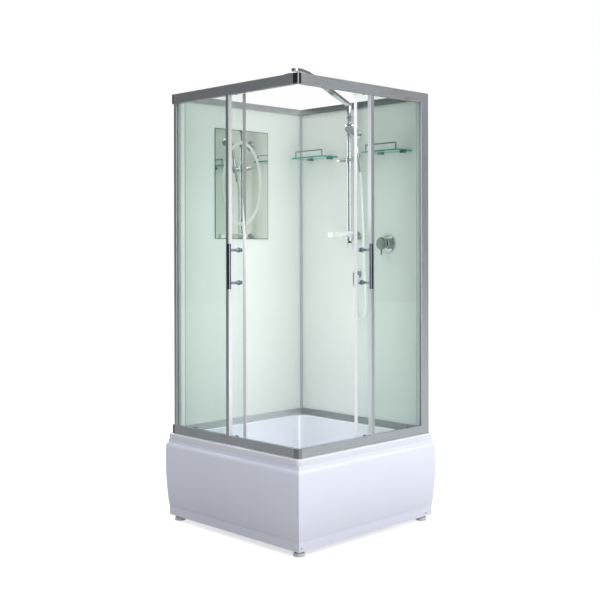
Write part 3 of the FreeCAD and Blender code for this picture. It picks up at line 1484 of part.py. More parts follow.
def make_slider():
    """The slider on the riser, its clamp knob and the tilting holder."""
    low = slider_height - d.sleeve_height / 2
    sleeve = rod("sleeve", (0, riser_y, low), d.sleeve_radius, d.sleeve_height)
    barrel_length = d.barrel_left + d.barrel_right
    barrel = rod("barrel", (-d.barrel_left, riser_y, slider_height), d.barrel_radius, barrel_length, aim(X))
    bore_spot = (0, riser_y, low - d.overrun)
    bore = rod("slider_bore", bore_spot, bore_radius, d.sleeve_height + 2 * d.overrun)
    keep(cut("slider_cut", fuse("slider_solid", [sleeve, barrel]), [bore]), "slider")
    levels = [d.clamp_knob_length * share for share in CLAMP_LEVEL_SHARES]
    neck = d.clamp_knob_tip * CLAMP_NECK_SHARE
    knob = [
        (0, 0), (neck, 0), (neck, levels[0]), (d.clamp_knob, levels[1]), (d.clamp_knob, levels[2]),
        (d.clamp_knob_tip, d.clamp_knob_length), (0, d.clamp_knob_length),
    ]
    keep(turned("knob", knob, (-d.barrel_left, riser_y, slider_height), turn(Y, -X)), "clamp_knob")
    axis = hand_axis()
    cup_low = -d.cup_height / 2
    hub_length = d.hand_side - d.barrel_right - d.cup_inner_low
    hub_spot = (d.barrel_right, riser_y, slider_height)
    hub = rod("holder_hub", hub_spot, d.barrel_radius, hub_length, aim(X))
    cup = rod("holder_cup", hand_spot(cup_low), d.cup_outer, d.cup_height, aim(axis))
    seat = cone("cup_seat", hand_spot(cup_low), d.cup_inner_low, d.cup_inner_high, d.cup_height, aim(axis))
    slot_plan = rectangle(-d.cup_slot / 2, -d.cup_outer - d.overrun, d.cup_slot / 2, 0)
    slot_spot = hand_spot(cup_low - d.overrun)
    slot = extruded("cup_slot", [slot_plan], d.cup_height + 2 * d.overrun, slot_spot, aim(axis))
    keep(cut("holder", fuse("holder_solid", [hub, cup]), [seat, slot]), "hand_holder")


def hose_nut(name, length, spot, rotation):
    """A nut round an end of the hose, narrower towards the hose, that hangs under its fitting."""
    bore = d.hose_radius + d.seat_gap
    outline = [
        (bore, -length),
        (d.hose_nut_tip, -length),
        (d.hose_nut, -length / 2),
        (d.hose_nut, 0),
        (bore, 0),
    ]
    return turned(name, outline, spot, rotation)


def make_handset():
    """The hand shower: a tapered handle that seats in the cup, a tilted round head and the hose's nut."""
    axis = hand_axis()
    cup_low = -d.cup_height / 2
    cup_high = d.cup_height / 2
    shoulder = cup_high + d.seat_gap
    outline = [
        (0, -d.grip_below),
        (d.grip_tip, -d.grip_below),
        (d.grip_tip, cup_low),
        (d.cup_inner_low - d.seat_gap, cup_low),
        (d.cup_inner_high - d.seat_gap, cup_high),
        (d.cup_inner_high - d.seat_gap, shoulder),
        (d.grip_shoulder, shoulder),
        (d.grip_shoulder, shoulder + d.grip_shoulder_drop),
        (d.grip_waist, d.grip_above / 2),
        (d.grip_top, d.grip_above),
        (0, d.grip_above),
    ]
    handle = turned("handle", outline, hand_spot(0), turn(X, axis))
    tilt = math.radians(SPRAY_TILT)
    back = Vector(0, math.cos(tilt), math.sin(tilt))
    levels = [d.spray_drop * share for share in SPRAY_LEVEL_SHARES]
    head_outline = [
        (0, 0),
        (d.spray_radius * SPRAY_FACE_SHARE, 0),
        (d.spray_radius, levels[0]),
        (d.spray_radius, levels[1]),
        (d.spray_radius * SPRAY_BACK_SHARE, levels[2]),
        (0, d.spray_drop),
    ]
    head_spot = (d.hand_side, riser_y - d.spray_forward, slider_height + d.spray_up)
    head = turned("spray_head", head_outline, head_spot, turn(X, back))
    nut = hose_nut("hand_nut", d.hand_nut_length, hand_spot(-d.grip_below), turn(X, axis))
    keep(group("hand_pieces", [fuse("hand_shower", [handle, head]), nut]), "handset")


def make_outlet():
    """The wall elbow that feeds the hose, and the hose's nut under it."""
    outlet_y = wall_half - d.outlet_off
    rose = rod("outlet_rose", (0, rose_face, outlet_height), d.outlet_rose, d.rose_drop, aim(Y))
    body = rod("outlet_arm", (0, outlet_y, outlet_height), d.outlet_body, d.outlet_off, aim(Y))
    bend = ball("outlet_bend", (0, outlet_y, outlet_height), d.outlet_body)
    low_spot = (0, outlet_y, outlet_height - d.outlet_drop)
    down = rod("outlet_down", low_spot, d.outlet_body, d.outlet_drop)
    stub_length = d.stub_out
    stub = rod("outlet_stub", (0, wall_half, outlet_height), d.stub_radius, stub_length, aim(Y))
    elbow = fuse("outlet", [rose, body, bend, down, stub])
    nut = hose_nut("outlet_nut", d.outlet_nut_length, low_spot, turn(X, Z))
    keep(group("outlet_pieces", [elbow, nut]), "hose_outlet")


def hose_route():
    """The hose's route: from the handset's end down, round a loop and up into the outlet."""
    low = outlet_height - d.outlet_drop
    end = (as_size(0), wall_half - d.outlet_off, low)
    last_bend = (end[0], end[1], low - d.hose_last_run)
    sizes = vars(d)
    points = [hand_spot(-d.grip_below), hand_spot(-d.grip_below - d.hose_first_run)]
    for number in range(1, len(HOSE_WAY) + 1):
        across, out, rise = (sizes[f"hose_{letter}{number}"] for letter in "xyz")
        points.append((across, riser_y + out, low + rise))
    points += [last_bend, end]
    return [Vector(*[value.value for value in point]) for point in points]


def make_hose():
    """The hose as straight runs joined by tangent arcs, each arc as large as its runs allow."""
    points = hose_route()
    edges = []
    radii = []
    here = points[0]
    for before, corner, after in zip(points, points[1:], points[2:]):
        back = (before - corner).normalize()
        ahead = (after - corner).normalize()
        turn_angle = math.pi - back.getAngle(ahead)
        tangent = TANGENT_SHARE * min((before - corner).Length, (after - corner).Length)
        radius = tangent / math.tan(turn_angle / 2)
        radii.append(radius)
        arc_start = corner + back * tangent
        arc_end = corner + ahead * tangent
        bisector = (back + ahead).normalize()
        reach = radius / math.cos(turn_angle / 2) - radius
        edges.append(Part.LineSegment(here, arc_start).toShape())
        edges.append(Part.Arc(arc_start, corner + bisector * reach, arc_end).toShape())
        here = arc_end
    edges.append(Part.LineSegment(here, points[-1]).toShape())
    path = Part.Wire(edges)
    first = (points[1] - points[0]).normalize()
    ring = Part.Wire([Part.Circle(points[0], first, d.hose_radius.value).toShape()])
    tube = path.makePipeShell([ring], True, False)
    section = math.pi * d.hose_radius.value ** 2
    print("hose radii mm:", " ".join(f"{radius:.0f}" for radius in radii))
    print(f"hose length {path.Length:.1f} mm")
    print(f"hose volume {tube.Volume:.0f}, section x length {section * path.Length:.0f}")
    item = doc.addObject("Part::Feature", "hose_tube")
    item.Shape = tube
    keep(item, "hose")


# Rain arm and head

def make_rain_arm():
    """The flat arm that rises from the riser, widens and levels out over the head, with the joint's stud."""
    slope = math.radians(ARM_SLOPE)
    thick = d.arm_thick
    bend_y = -d.head_shift - d.arm_level
    front_y = bend_y - d.arm_width_front / 2
    back_y = riser_y + d.arm_heel
    low_bend = (bend_y + d.arm_bow * math.sin(slope), arm_end - d.arm_bow * (1 - math.cos(slope)))
    outer_bow = d.arm_bow + thick
    high_fall = outer_bow * (1 - math.cos(slope))
    high_bend = (bend_y + outer_bow * math.sin(slope), arm_end + thick - high_fall)
    low_back = low_bend[1] - (back_y - low_bend[0]) * math.tan(slope)
    high_back = high_bend[1] - (back_y - high_bend[0]) * math.tan(slope)
    side = [
        (front_y, arm_end), (bend_y, arm_end), low_bend, (back_y, low_back),
        (back_y, high_back), high_bend, (bend_y, arm_end + thick), (front_y, arm_end + thick),
    ]
    arcs = {1: (-1, d.arm_bow), 5: (1, outer_bow)}
    half_front = d.arm_width_front / 2
    half_back = d.arm_width_back / 2
    band = extruded("arm_band", [side], 2 * half_front, (-half_front, 0, 0), turn(Y, Z), arcs)
    plan = [
        (-half_front, bend_y), (half_front, bend_y), (half_back, back_y), (-half_back, back_y),
    ]
    plan_low = riser_high
    plan_height = arm_end + thick + d.overrun - plan_low
    shape = extruded("arm_plan", [plan], plan_height, (0, 0, plan_low), None, {0: (1, d.arm_round)})
    blade = common("arm_blade", band, shape)
    low_at_riser = low_bend[1] - (riser_y - low_bend[0]) * math.tan(slope)
    socket_length = low_at_riser + d.arm_socket_lap - riser_high
    socket = rod("arm_socket", (0, riser_y, riser_high), d.arm_socket, socket_length)
    ball_z = arm_end - d.ball_low
    stud = rod("arm_stud", (0, -d.head_shift, ball_z), d.arm_stud, d.ball_low + thick / 2)
    clear = ball("arm_cup", (0, -d.head_shift, ball_z), d.ball_radius + d.seat_gap)
    keep(cut("arm", fuse("arm_solid", [blade, socket, stud]), [clear]), "rain_arm")


def make_rain_head():
    """The ball and the round rain head, which leans a little towards the wall."""
    centre = (0, -d.head_shift, arm_end - d.ball_low)
    keep(ball("joint_ball", centre, d.ball_radius), "head_ball")
    lean = math.radians(HEAD_LEAN)
    up = Vector(0, math.sin(lean), math.cos(lean))
    wide = d.head_radius
    rim_top = -d.ball_radius * HEAD_FALL_SHARE
    rim_low = rim_top - d.head_rim
    edge = d.head_rim * EDGE_SHARE
    collar_top = d.ball_radius * HEAD_COLLAR_SHARE
    outline = [
        (0, rim_low),
        (wide - edge, rim_low),
        (wide, rim_low + edge),
        (wide, rim_top - edge),
        (wide - edge, rim_top),
        (d.head_neck * HEAD_SHOULDER_SHARE, rim_top + d.head_crown),
        (d.head_neck, rim_top + d.head_crown),
        (d.head_neck, collar_top),
        (0, collar_top),
    ]
    body = turned("head_body", outline, centre, turn(X, up))
    socket = ball("head_socket", centre, d.ball_radius + d.seat_gap)
    keep(cut("head", body, [socket]), "rain_head")


# Mixer and the pipes behind the wall

def make_mixer():
    """The mixer: wall plate with sleeve, turning spindle, lever disc with its pin, and the valve."""
    centre = (d.mixer_place, wall_half, mixer_height)
    edge = d.plate_drop * PLATE_EDGE_SHARE
    reach = d.sleeve_reach
    plate = [
        (0, 0),
        (d.plate_radius, 0),
        (d.plate_radius, edge),
        (d.plate_radius - edge, d.plate_drop),
        (d.mixer_sleeve, d.plate_drop),
        (d.mixer_sleeve, reach - edge),
        (d.mixer_sleeve - edge, reach),
        (0, reach),
    ]
    keep(turned("plate", plate, centre, turn(X, -Y)), "mixer_plate")
    spindle_length = d.spindle_reach - d.sleeve_reach
    spindle_spot = (d.mixer_place, wall_half - d.sleeve_reach, mixer_height)
    spindle = rod("spindle_body", spindle_spot, d.spindle_radius, spindle_length, aim(-Y))
    neck_length = d.pivot_off - d.sleeve_reach
    neck = rod("spindle_neck", spindle_spot, d.pivot_radius, neck_length, aim(-Y))
    pivot_y = wall_half - d.pivot_off
    pivot_spot = (d.mixer_place - d.pivot_half, pivot_y, mixer_height)
    pivot = rod("spindle_pivot", pivot_spot, d.pivot_radius, 2 * d.pivot_half, aim(X))
    keep(fuse("spindle", [spindle, neck, pivot]), "mixer_spindle")
    lever_y = pivot_y - d.pivot_radius - d.seat_gap
    edge = d.lever_drop * EDGE_SHARE
    lever = [
        (0, 0),
        (d.lever_radius - edge, 0),
        (d.lever_radius, edge),
        (d.lever_radius, d.lever_drop - edge),
        (d.lever_radius - edge, d.lever_drop),
        (0, d.lever_drop),
    ]
    disc = turned("lever_disc", lever, (d.mixer_place, lever_y, mixer_height), turn(X, -Y))
    pin_length = d.pin_reach - d.lever_radius / 2
    pin_spot = (d.mixer_place, lever_y - d.lever_drop / 2, mixer_height - d.pin_reach)
    pin = rod("lever_pin", pin_spot, d.pin_radius, pin_length)
    keep(fuse("lever", [disc, pin]), "mixer_lever")
    body = rod("valve_body", centre, d.valve_radius, d.valve_back, aim(Y))
    back = wall_half + d.valve_back
    block_low = (d.mixer_place - d.block_half, back - d.block_thick, mixer_height - d.block_rise)
    block_high = (d.mixer_place + d.block_half, back, mixer_height + d.block_rise)
    parts = [body, box("valve_block", block_low, block_high)]
    for number, side in enumerate((-1, 1)):
        inlet_spot = (d.mixer_place + side * d.inlet_shift, back, mixer_height)
        parts.append(rod(f"valve_inlet{number}", inlet_spot, d.inlet_radius, d.inlet_length, aim(Y)))
    keep(fuse("valve", parts), "mixer_valve")


def make_supply():
    """The pipes behind the wall, from the valve to the riser base and the hose outlet, with back nuts."""
    radius = d.supply_radius
    valve_top = mixer_height + d.valve_radius
    high = valve_top + d.supply_rise
    base_top = base_middle + d.stub_radius
    rise = rod("supply_rise", (d.mixer_place, supply_y, valve_top), radius, d.supply_rise)
    run = rod("supply_run", (0, supply_y, high), radius, d.mixer_place, aim(X))
    drop = rod("supply_drop", (0, supply_y, base_top), radius, high - base_top)
    pieces = [rise, run, drop]
    for number, across in enumerate((0, d.mixer_place)):
        pieces.append(ball(f"supply_bend{number}", (across, supply_y, high), radius))
    first = fuse("supply_first", pieces)
    outlet_top = outlet_height + d.stub_radius
    second_length = base_middle - d.stub_radius - outlet_top
    second = rod("supply_second", (0, supply_y, outlet_top), radius, second_length)
    nuts = []
    for number, height in enumerate((base_middle, outlet_height)):
        outer = rod(f"nut_outer{number}", (0, wall_back, height), d.nut_across, d.nut_thick, aim(Y))
        bore_spot = (0, wall_back - d.overrun, height)
        bore_length = d.nut_thick + 2 * d.overrun
        bore = rod(f"nut_bore{number}", bore_spot, d.stub_radius + d.running_gap, bore_length, aim(Y))
        nuts.append(cut(f"nut{number}", outer, [bore]))
    keep(group("supply", [first, second] + nuts), "supply_line")


def check_and_write():
    """Stops on any failed object, then writes each piece to its own file."""
    doc.recompute()
    failed = [item.Name for item in doc.Objects if {"Invalid", "Error"} & set(item.State)]
    if failed:
        raise RuntimeError("failed objects: " + ", ".join(failed))
    os.makedirs(OUT, exist_ok=True)
    for node in nodes:
        shape = node.Shape
        if shape.isNull() or not shape.isValid():
            raise RuntimeError(f"bad shape: {node.Label}")
        shape.exportStep(f"{OUT}/{node.Label}.step")
        print(f"{node.Label}: {len(shape.Solids)} solids, {shape.Volume / 1000:.1f} cm3")
    print(len(nodes), "pieces written")


make_tub()
make_apron("left")
make_apron("right")
make_apron_fixings()
make_tray_frame()
make_feet()
make_waste()
make_door_rails()
make_rail_ends()
make_uprights()
make_back_rails()
make_walls()
make_panes()
make_door("left")
make_door("right")
make_mirror()
make_shelves()
make_riser()
make_soap_dish()
make_slider()
make_handset()
make_outlet()
make_hose()
make_rain_arm()
make_rain_head()
make_mixer()
make_supply()
check_and_write()
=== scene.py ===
import bmesh
import bpy
import math
from bpy.props import FloatProperty, FloatVectorProperty, IntProperty, PointerProperty
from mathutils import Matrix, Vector


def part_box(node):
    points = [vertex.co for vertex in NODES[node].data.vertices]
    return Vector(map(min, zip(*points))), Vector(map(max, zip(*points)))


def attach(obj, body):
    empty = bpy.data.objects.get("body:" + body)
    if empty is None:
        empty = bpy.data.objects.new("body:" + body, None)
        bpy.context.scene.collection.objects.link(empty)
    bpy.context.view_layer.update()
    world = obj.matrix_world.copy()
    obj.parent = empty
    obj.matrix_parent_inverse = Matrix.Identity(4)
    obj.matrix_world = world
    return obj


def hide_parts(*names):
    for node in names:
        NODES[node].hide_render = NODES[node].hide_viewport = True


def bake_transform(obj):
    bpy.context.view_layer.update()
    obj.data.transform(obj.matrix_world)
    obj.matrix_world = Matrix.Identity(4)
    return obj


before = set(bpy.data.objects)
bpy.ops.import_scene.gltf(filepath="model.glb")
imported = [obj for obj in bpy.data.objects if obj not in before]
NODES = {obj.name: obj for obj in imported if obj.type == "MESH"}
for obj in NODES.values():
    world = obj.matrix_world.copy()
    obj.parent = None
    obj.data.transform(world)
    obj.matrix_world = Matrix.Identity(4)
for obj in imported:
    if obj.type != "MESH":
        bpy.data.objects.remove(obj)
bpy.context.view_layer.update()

bl_info = {
    "name": "Corner Shower Cabin",
    "version": (1, 0, 0),
    "blender": (4, 5, 0),
    "location": "3D View > Sidebar > Cabin",
    "description": "Dresses a corner shower cabin with its finishes, small pieces, hose and studio",
    "category": "Object",
}

# Directions in the shared frame. The doors meet at the corner of +X and -Y, and the camera stands off it
SIDEWAYS = (1.0, 0.0, 0.0)
BACKWARDS = (0.0, 1.0, 0.0)
UPRIGHT = (0.0, 0.0, 1.0)
ACROSS_DOORWAY = (1.0, 1.0, 0.0)
RIGHT_OF_CORNER = (0.707, 0.707, 0.0)
OUT_OF_CORNER = (0.707, -0.707, 0.0)

# Stretches that lay a profile's fine lines along one axis
LINES_SIDEWAYS = (0.02, 1.0, 1.0)
LINES_BACKWARDS = (1.0, 0.02, 1.0)
LINES_UPRIGHT = (1.0, 1.0, 0.02)
FINE_LINES = 600.0
SATIN_METAL = 0.75


def length(name, description, default):
    """A size that the sidebar shows in metres."""
    return FloatProperty(name=name, description=description, default=default, unit="LENGTH", precision=4)


def colour(name, description, default):
    """A colour that the sidebar shows as a swatch."""
    return FloatVectorProperty(name=name, description=description, default=default, subtype="COLOR", size=3,
                               min=0.0, max=1.0)


class CabinSizes(bpy.types.PropertyGroup):
    """Sizes of the pieces that this file adds to the cabin."""
    oval_width: length("Oval width", "Width of the etched oval on the mirror", 0.262)
    oval_height: length("Oval height", "Height of the etched oval on the mirror", 0.423)
    oval_band: length("Oval band", "Width of the oval's etched line", 0.016)
    oval_depth: length("Oval depth", "Thickness of the oval's etched line", 0.0003)
    oval_middle_z: length("Oval middle", "Height of the oval's middle above the floor", 1.606)
    mirror_border: length("Mirror border", "Width of the dark line along the mirror's edge", 0.003)
    nozzle: length("Nozzle", "Radius of a spray nozzle", 0.0016)
    plate_high: length("Nozzle plate", "Thickness of a nozzle plate", 0.0008)
    rain_face: length("Rain face", "Radius of the rain head's nozzle plate", 0.059)
    rain_fall: length("Rain face drop", "Rain head's underside below its ball's middle", 0.0144)
    hand_face: length("Hand face", "Radius of the handset's nozzle plate", 0.033)
    screw_head: length("Screw head", "Radius of an apron screw's head", 0.005)
    screw_drop: length("Screw drop", "Thickness of an apron screw's head", 0.0025)
    screw_shank: length("Screw shank", "Radius of an apron screw's shank", 0.002)
    screw_reach: length("Screw reach", "Length of an apron screw's shank", 0.008)
    screw_corner: length("Screw by the corner", "From the middle to the front right screw's far edge", 0.424)
    pad_radius: length("Pad radius", "Radius of a foot pad", 0.025)
    pad_high: length("Pad height", "Height of a foot pad's disc", 0.008)
    pad_boss: length("Pad boss", "Radius of a foot pad's boss", 0.012)
    hose_radius: length("Hose radius", "Radius of the shower hose", 0.006)
    hose_split: length("Hose split", "Height at which the hose is cut in two meshes", 1.6)
    hose_sides: IntProperty(name="Hose sides", description="Sides of the hose's round section",
                            default=20, min=8)


class CabinColours(bpy.types.PropertyGroup):
    """Main colours of the cabin's finishes."""
    acrylic: colour("Tub acrylic", "Gloss acrylic of the tub", (0.79, 0.81, 0.88))
    apron: colour("Apron acrylic", "Satin acrylic of the aprons", (0.83, 0.85, 0.98))
    aluminium: colour("Aluminium", "Satin anodised profiles", (0.57, 0.60, 0.63))
    chrome: colour("Chrome", "Polished fittings", (0.80, 0.81, 0.83))
    wall: colour("Back walls", "Back-painted glass of the two walls", (0.72, 0.77, 0.735))
    glass: colour("Glass tint", "Light that one face of the clear glass lets through", (0.945, 0.965, 0.958))
    glass_edge: colour("Glass edge", "Cut edges of the clear glass", (0.38, 0.56, 0.50))
    shelf_edge: colour("Shelf edge", "Cut edges of the shelves", (0.01, 0.33, 0.26))
    seal: colour("Door seals", "Pale vinyl of the door seals", (0.66, 0.68, 0.69))
    # Painted shade: the handles' chrome is darkened and tinted blue for the dark reflections on it
    handle: colour("Handles", "Dark polished chrome of the handles", (0.42, 0.50, 0.58))
    mirror: colour("Mirror", "Silvered glass", (0.83, 0.86, 0.81))


# Colours of the smaller finishes
TINTS = {
    # Painted shade and painted light: a darker and a lighter copy of the aluminium for the two back walls'
    # rails
    "back rail": (0.34, 0.36, 0.36),
    "side rail": (0.68, 0.71, 0.72),
    # Painted light and shade: flat tones on the uprights' faces beside the doorway and inside
    "stile side light": (0.64, 0.65, 0.67),
    "channel side shade": (0.42, 0.46, 0.45),
    "post side light": (0.62, 0.68, 0.70),
    # Painted highlight and painted shade: lighter and darker copies of the chrome
    "lit chrome": (0.92, 0.93, 0.95),
    "shaded chrome": (0.36, 0.39, 0.39),
    "black chrome": (0.27, 0.30, 0.30),
    "corner chrome": (0.42, 0.43, 0.43),
    "glass face": (0.90, 0.95, 0.93),
    "shelf glass": (0.86, 0.95, 0.93),
    "dish": (0.92, 0.95, 0.95),
    "dish edge": (0.84, 0.86, 0.86),
    "mirror border": (0.24, 0.33, 0.29),
    "etched glass": (0.52, 0.57, 0.53),
    "knob low": (0.60, 0.66, 0.64),
    "knob high": (0.66, 0.71, 0.69),
    "knob ring": (0.06, 0.08, 0.09),
    "zinc": (0.50, 0.51, 0.53),
    "nylon": (0.80, 0.80, 0.78),
    "copper": (0.72, 0.38, 0.25),
    "vinyl": (0.80, 0.81, 0.81),
    "foot": (0.70, 0.71, 0.74),
    "pale plate": (0.60, 0.67, 0.65),
    "grey plate": (0.25, 0.28, 0.28),
    "soft nozzle": (0.42, 0.46, 0.46),
}

# Lowest and highest roughness over each kind of finish
ROUGH = {
    "gloss acrylic": (0.08, 0.14),
    "satin acrylic": (0.28, 0.36),
    "satin metal": (0.26, 0.38),
    "chrome": (0.04, 0.09),
    "black chrome": (0.04, 0.08),
    "soft chrome": (0.05, 0.10),
    "used chrome": (0.06, 0.12),
    "mirror": (0.02, 0.04),
    "glass": (0.02, 0.05),
    "wall": (0.16, 0.24),
    "seal": (0.30, 0.42),
    "etched glass": (0.50, 0.65),
    "zinc": (0.34, 0.50),
    "nylon": (0.35, 0.45),
    "copper": (0.22, 0.36),
    "vinyl": (0.22, 0.32),
    "foot": (0.40, 0.50),
    "plate": (0.20, 0.30),
    "soft nozzle": (0.50, 0.60),
}


def sizes():
    """The sizes set in the sidebar."""
    return bpy.context.scene.cabin_sizes


def colours():
    """The colours set in the sidebar."""
    return bpy.context.scene.cabin_colours


# Finishes

def new_finish(name):
    """A new material with its tree and main shader."""
    material = bpy.data.materials.new(name)
    material.use_nodes = True
    tree = material.node_tree
    tree.nodes.clear()
    output = tree.nodes.new("ShaderNodeOutputMaterial")
    shader = tree.nodes.new("ShaderNodeBsdfPrincipled")
    tree.links.new(shader.outputs[0], output.inputs["Surface"])
    return material, tree, shader


def tune(shader, **values):
    """Sets a shader's plain inputs, with words joined by underscores."""
    for word, value in values.items():
        shader.inputs[word.replace("_", " ")].default_value = value


def rgba(tint, share=1.0):
    """A colour with its strength scaled and full alpha."""
    return (tint[0] * share, tint[1] * share, tint[2] * share, 1.0)


def put(tree, value, socket):
    """Sets a socket to a number or colour, or links another socket to it."""
    if isinstance(value, (float, tuple)):
        socket.default_value = value
    else:
        tree.links.new(value, socket)


def maths(tree, operation, first, second=0.0):
    """One step of arithmetic on sockets and numbers."""
    node = tree.nodes.new("ShaderNodeMath")
    node.operation = operation
    put(tree, first, node.inputs[0])
    put(tree, second, node.inputs[1])
    return node.outputs[0]


def mixed(tree, share, first, second, blend="MIX"):
    """Two colours mixed by a share."""
    mix = tree.nodes.new("ShaderNodeMix")
    mix.data_type = "RGBA"
    mix.blend_type = blend
    put(tree, share, mix.inputs["Factor"])
    put(tree, first, mix.inputs[6])
    put(tree, second, mix.inputs[7])
    return mix.outputs[2]


def chosen(tree, share, first, second):
    """The first shader, or the second where the share is one."""
    mix = tree.nodes.new("ShaderNodeMixShader")
    tree.links.new(share, mix.inputs["Fac"])
    tree.links.new(first, mix.inputs[1])
    tree.links.new(second, mix.inputs[2])
    return mix.outputs[0]


def reach_along(tree, vector, direction):
    """How far a vector reaches along a direction."""
    product = tree.nodes.new("ShaderNodeVectorMath")
    product.operation = "DOT_PRODUCT"
    product.inputs[1].default_value = direction
    tree.links.new(vector, product.inputs[0])
    return product.outputs["Value"]


def object_side(tree, direction, output="Object"):
    """How far a place or a face's direction lies along a line."""
    source = tree.nodes.new("ShaderNodeTexCoord")
    return reach_along(tree, source.outputs[output], direction)


def object_place(tree, scale=(1.0, 1.0, 1.0)):
    """Object coordinates through a scaling."""
    source = tree.nodes.new("ShaderNodeTexCoord")
    mapping = tree.nodes.new("ShaderNodeMapping")
    mapping.inputs["Scale"].default_value = scale
    tree.links.new(source.outputs["Object"], mapping.inputs["Vector"])
    return mapping.outputs["Vector"]


def grain(tree, scale, stretch=(1.0, 1.0, 1.0), detail=4.0):
    """Soft noise over the surface, stretched along the axes with a small scale."""
    noise = tree.nodes.new("ShaderNodeTexNoise")
    noise.inputs["Scale"].default_value = scale
    noise.inputs["Detail"].default_value = detail
    tree.links.new(object_place(tree, stretch), noise.inputs["Vector"])
    return noise.outputs["Fac"]


def between(tree, source, low, high, start=0.3, end=0.7):
    """Maps a span, by default that of noise, to a range of numbers."""
    levels = tree.nodes.new("ShaderNodeMapRange")
    for word, value in (("From Min", start), ("From Max", end), ("To Min", low), ("To Max", high)):
        levels.inputs[word].default_value = value
    tree.links.new(source, levels.inputs["Value"])
    return levels.outputs["Result"]


def tints(tree, source, first, second):
    """Maps noise to a range of colours."""
    ramp = tree.nodes.new("ShaderNodeValToRGB")
    ramp.color_ramp.elements[0].position = 0.3
    ramp.color_ramp.elements[0].color = first
    ramp.color_ramp.elements[1].position = 0.7
    ramp.color_ramp.elements[1].color = second
    tree.links.new(source, ramp.inputs["Fac"])
    return ramp.outputs["Color"]


def relief(tree, shader, source, strength, distance):
    """Adds fine bumps from noise."""
    bump = tree.nodes.new("ShaderNodeBump")
    bump.inputs["Strength"].default_value = strength
    bump.inputs["Distance"].default_value = distance
    tree.links.new(source, bump.inputs["Height"])
    tree.links.new(bump.outputs["Normal"], shader.inputs["Normal"])


def moulded_finish(name, tint, rough, coat=0.0, bump=0.02):
    """A moulded plastic with faint changes of tone and gloss."""
    material, tree, shader = new_finish(name)
    cloud = grain(tree, 7.0)
    tree.links.new(tints(tree, cloud, rgba(tint, 0.985), rgba(tint)), shader.inputs["Base Color"])
    tree.links.new(between(tree, cloud, *rough), shader.inputs["Roughness"])
    relief(tree, shader, grain(tree, 900.0, detail=2.0), bump, 0.0004)
    tune(shader, Coat_Weight=coat, Coat_Roughness=0.06, IOR=1.49)
    return material


def metal_finish(name, tint, rough, stretch=(1.0, 1.0, 1.0), scale=30.0, bump=0.0, metallic=1.0):
    """A metal whose grain runs along the axes with a small stretch."""
    material, tree, shader = new_finish(name)
    lines = grain(tree, scale, stretch, 6.0)
    tree.links.new(tints(tree, lines, rgba(tint, 0.93), rgba(tint, 1.03)), shader.inputs["Base Color"])
    tree.links.new(between(tree, lines, *rough), shader.inputs["Roughness"])
    if bump:
        relief(tree, shader, lines, bump, 0.0002)
    tune(shader, Metallic=metallic)
    return material


def satin_finish(name, tint, stretch, bump=0.0):
    """Satin anodised metal with its lines along a profile."""
    return metal_finish(name, tint, ROUGH["satin metal"], stretch, FINE_LINES, bump, SATIN_METAL)


def glass_finish(name, tint, edge, face, edge_alpha=0.85, haze=0.0, gloss=0.04, solid_half=0.0):
    """Clear glass that reflects by angle, with coloured edges off its face and a solid middle if wanted."""
    material, tree, shader = new_finish(name)
    nodes = tree.nodes
    clear = nodes.new("ShaderNodeBsdfTransparent")
    clear.inputs["Color"].default_value = rgba(tint)
    at_edge = maths(tree, "LESS_THAN", maths(tree, "ABSOLUTE", object_side(tree, face, "Normal")), 0.5)
    facing = nodes.new("ShaderNodeLayerWeight")
    facing.inputs["Blend"].default_value = 0.5
    rise = maths(tree, "POWER", facing.outputs["Facing"], 5.0)
    face_share = maths(tree, "ADD", maths(tree, "MULTIPLY", rise, 1.0 - gloss - haze), gloss + haze)
    share = nodes.new("ShaderNodeMix")
    put(tree, at_edge, share.inputs["Factor"])
    put(tree, face_share, share.inputs[2])
    put(tree, edge_alpha, share.inputs[3])
    solid = share.outputs[0]
    if solid_half:
        across = maths(tree, "ABSOLUTE", object_side(tree, SIDEWAYS))
        solid = maths(tree, "MAXIMUM", solid, maths(tree, "LESS_THAN", across, solid_half))
    paint = mixed(tree, at_edge, rgba(TINTS["glass face"]), rgba(edge))
    tree.links.new(paint, shader.inputs["Base Color"])
    tree.links.new(maths(tree, "SUBTRACT", 1.0, at_edge), shader.inputs["Metallic"])
    smear = grain(tree, 3.0, detail=3.0)
    tree.links.new(between(tree, smear, *ROUGH["glass"]), shader.inputs["Roughness"])
    surface = chosen(tree, solid, clear.outputs[0], shader.outputs[0])
    tree.links.new(surface, nodes["Material Output"].inputs["Surface"])
    return material


def stile_painted_light(name, tint, side_light_tint):
    """Satin metal on the outer faces, and a flat tone of painted light and shade on those that look to the
    doorway or inwards.
    """
    material, tree, shader = new_finish(name)
    lines = grain(tree, FINE_LINES, LINES_UPRIGHT, 6.0)
    place = object_side(tree, ACROSS_DOORWAY)
    turn = maths(tree, "MULTIPLY", place, object_side(tree, ACROSS_DOORWAY, "Normal"))
    outer = maths(tree, "GREATER_THAN", turn, 0.0)
    metal = tints(tree, lines, rgba(tint, 0.93), rgba(tint, 1.03))
    tree.links.new(mixed(tree, outer, rgba(side_light_tint), metal), shader.inputs["Base Color"])
    tree.links.new(maths(tree, "MULTIPLY", outer, SATIN_METAL), shader.inputs["Metallic"])
    tree.links.new(between(tree, lines, *ROUGH["satin metal"]), shader.inputs["Roughness"])
    return material


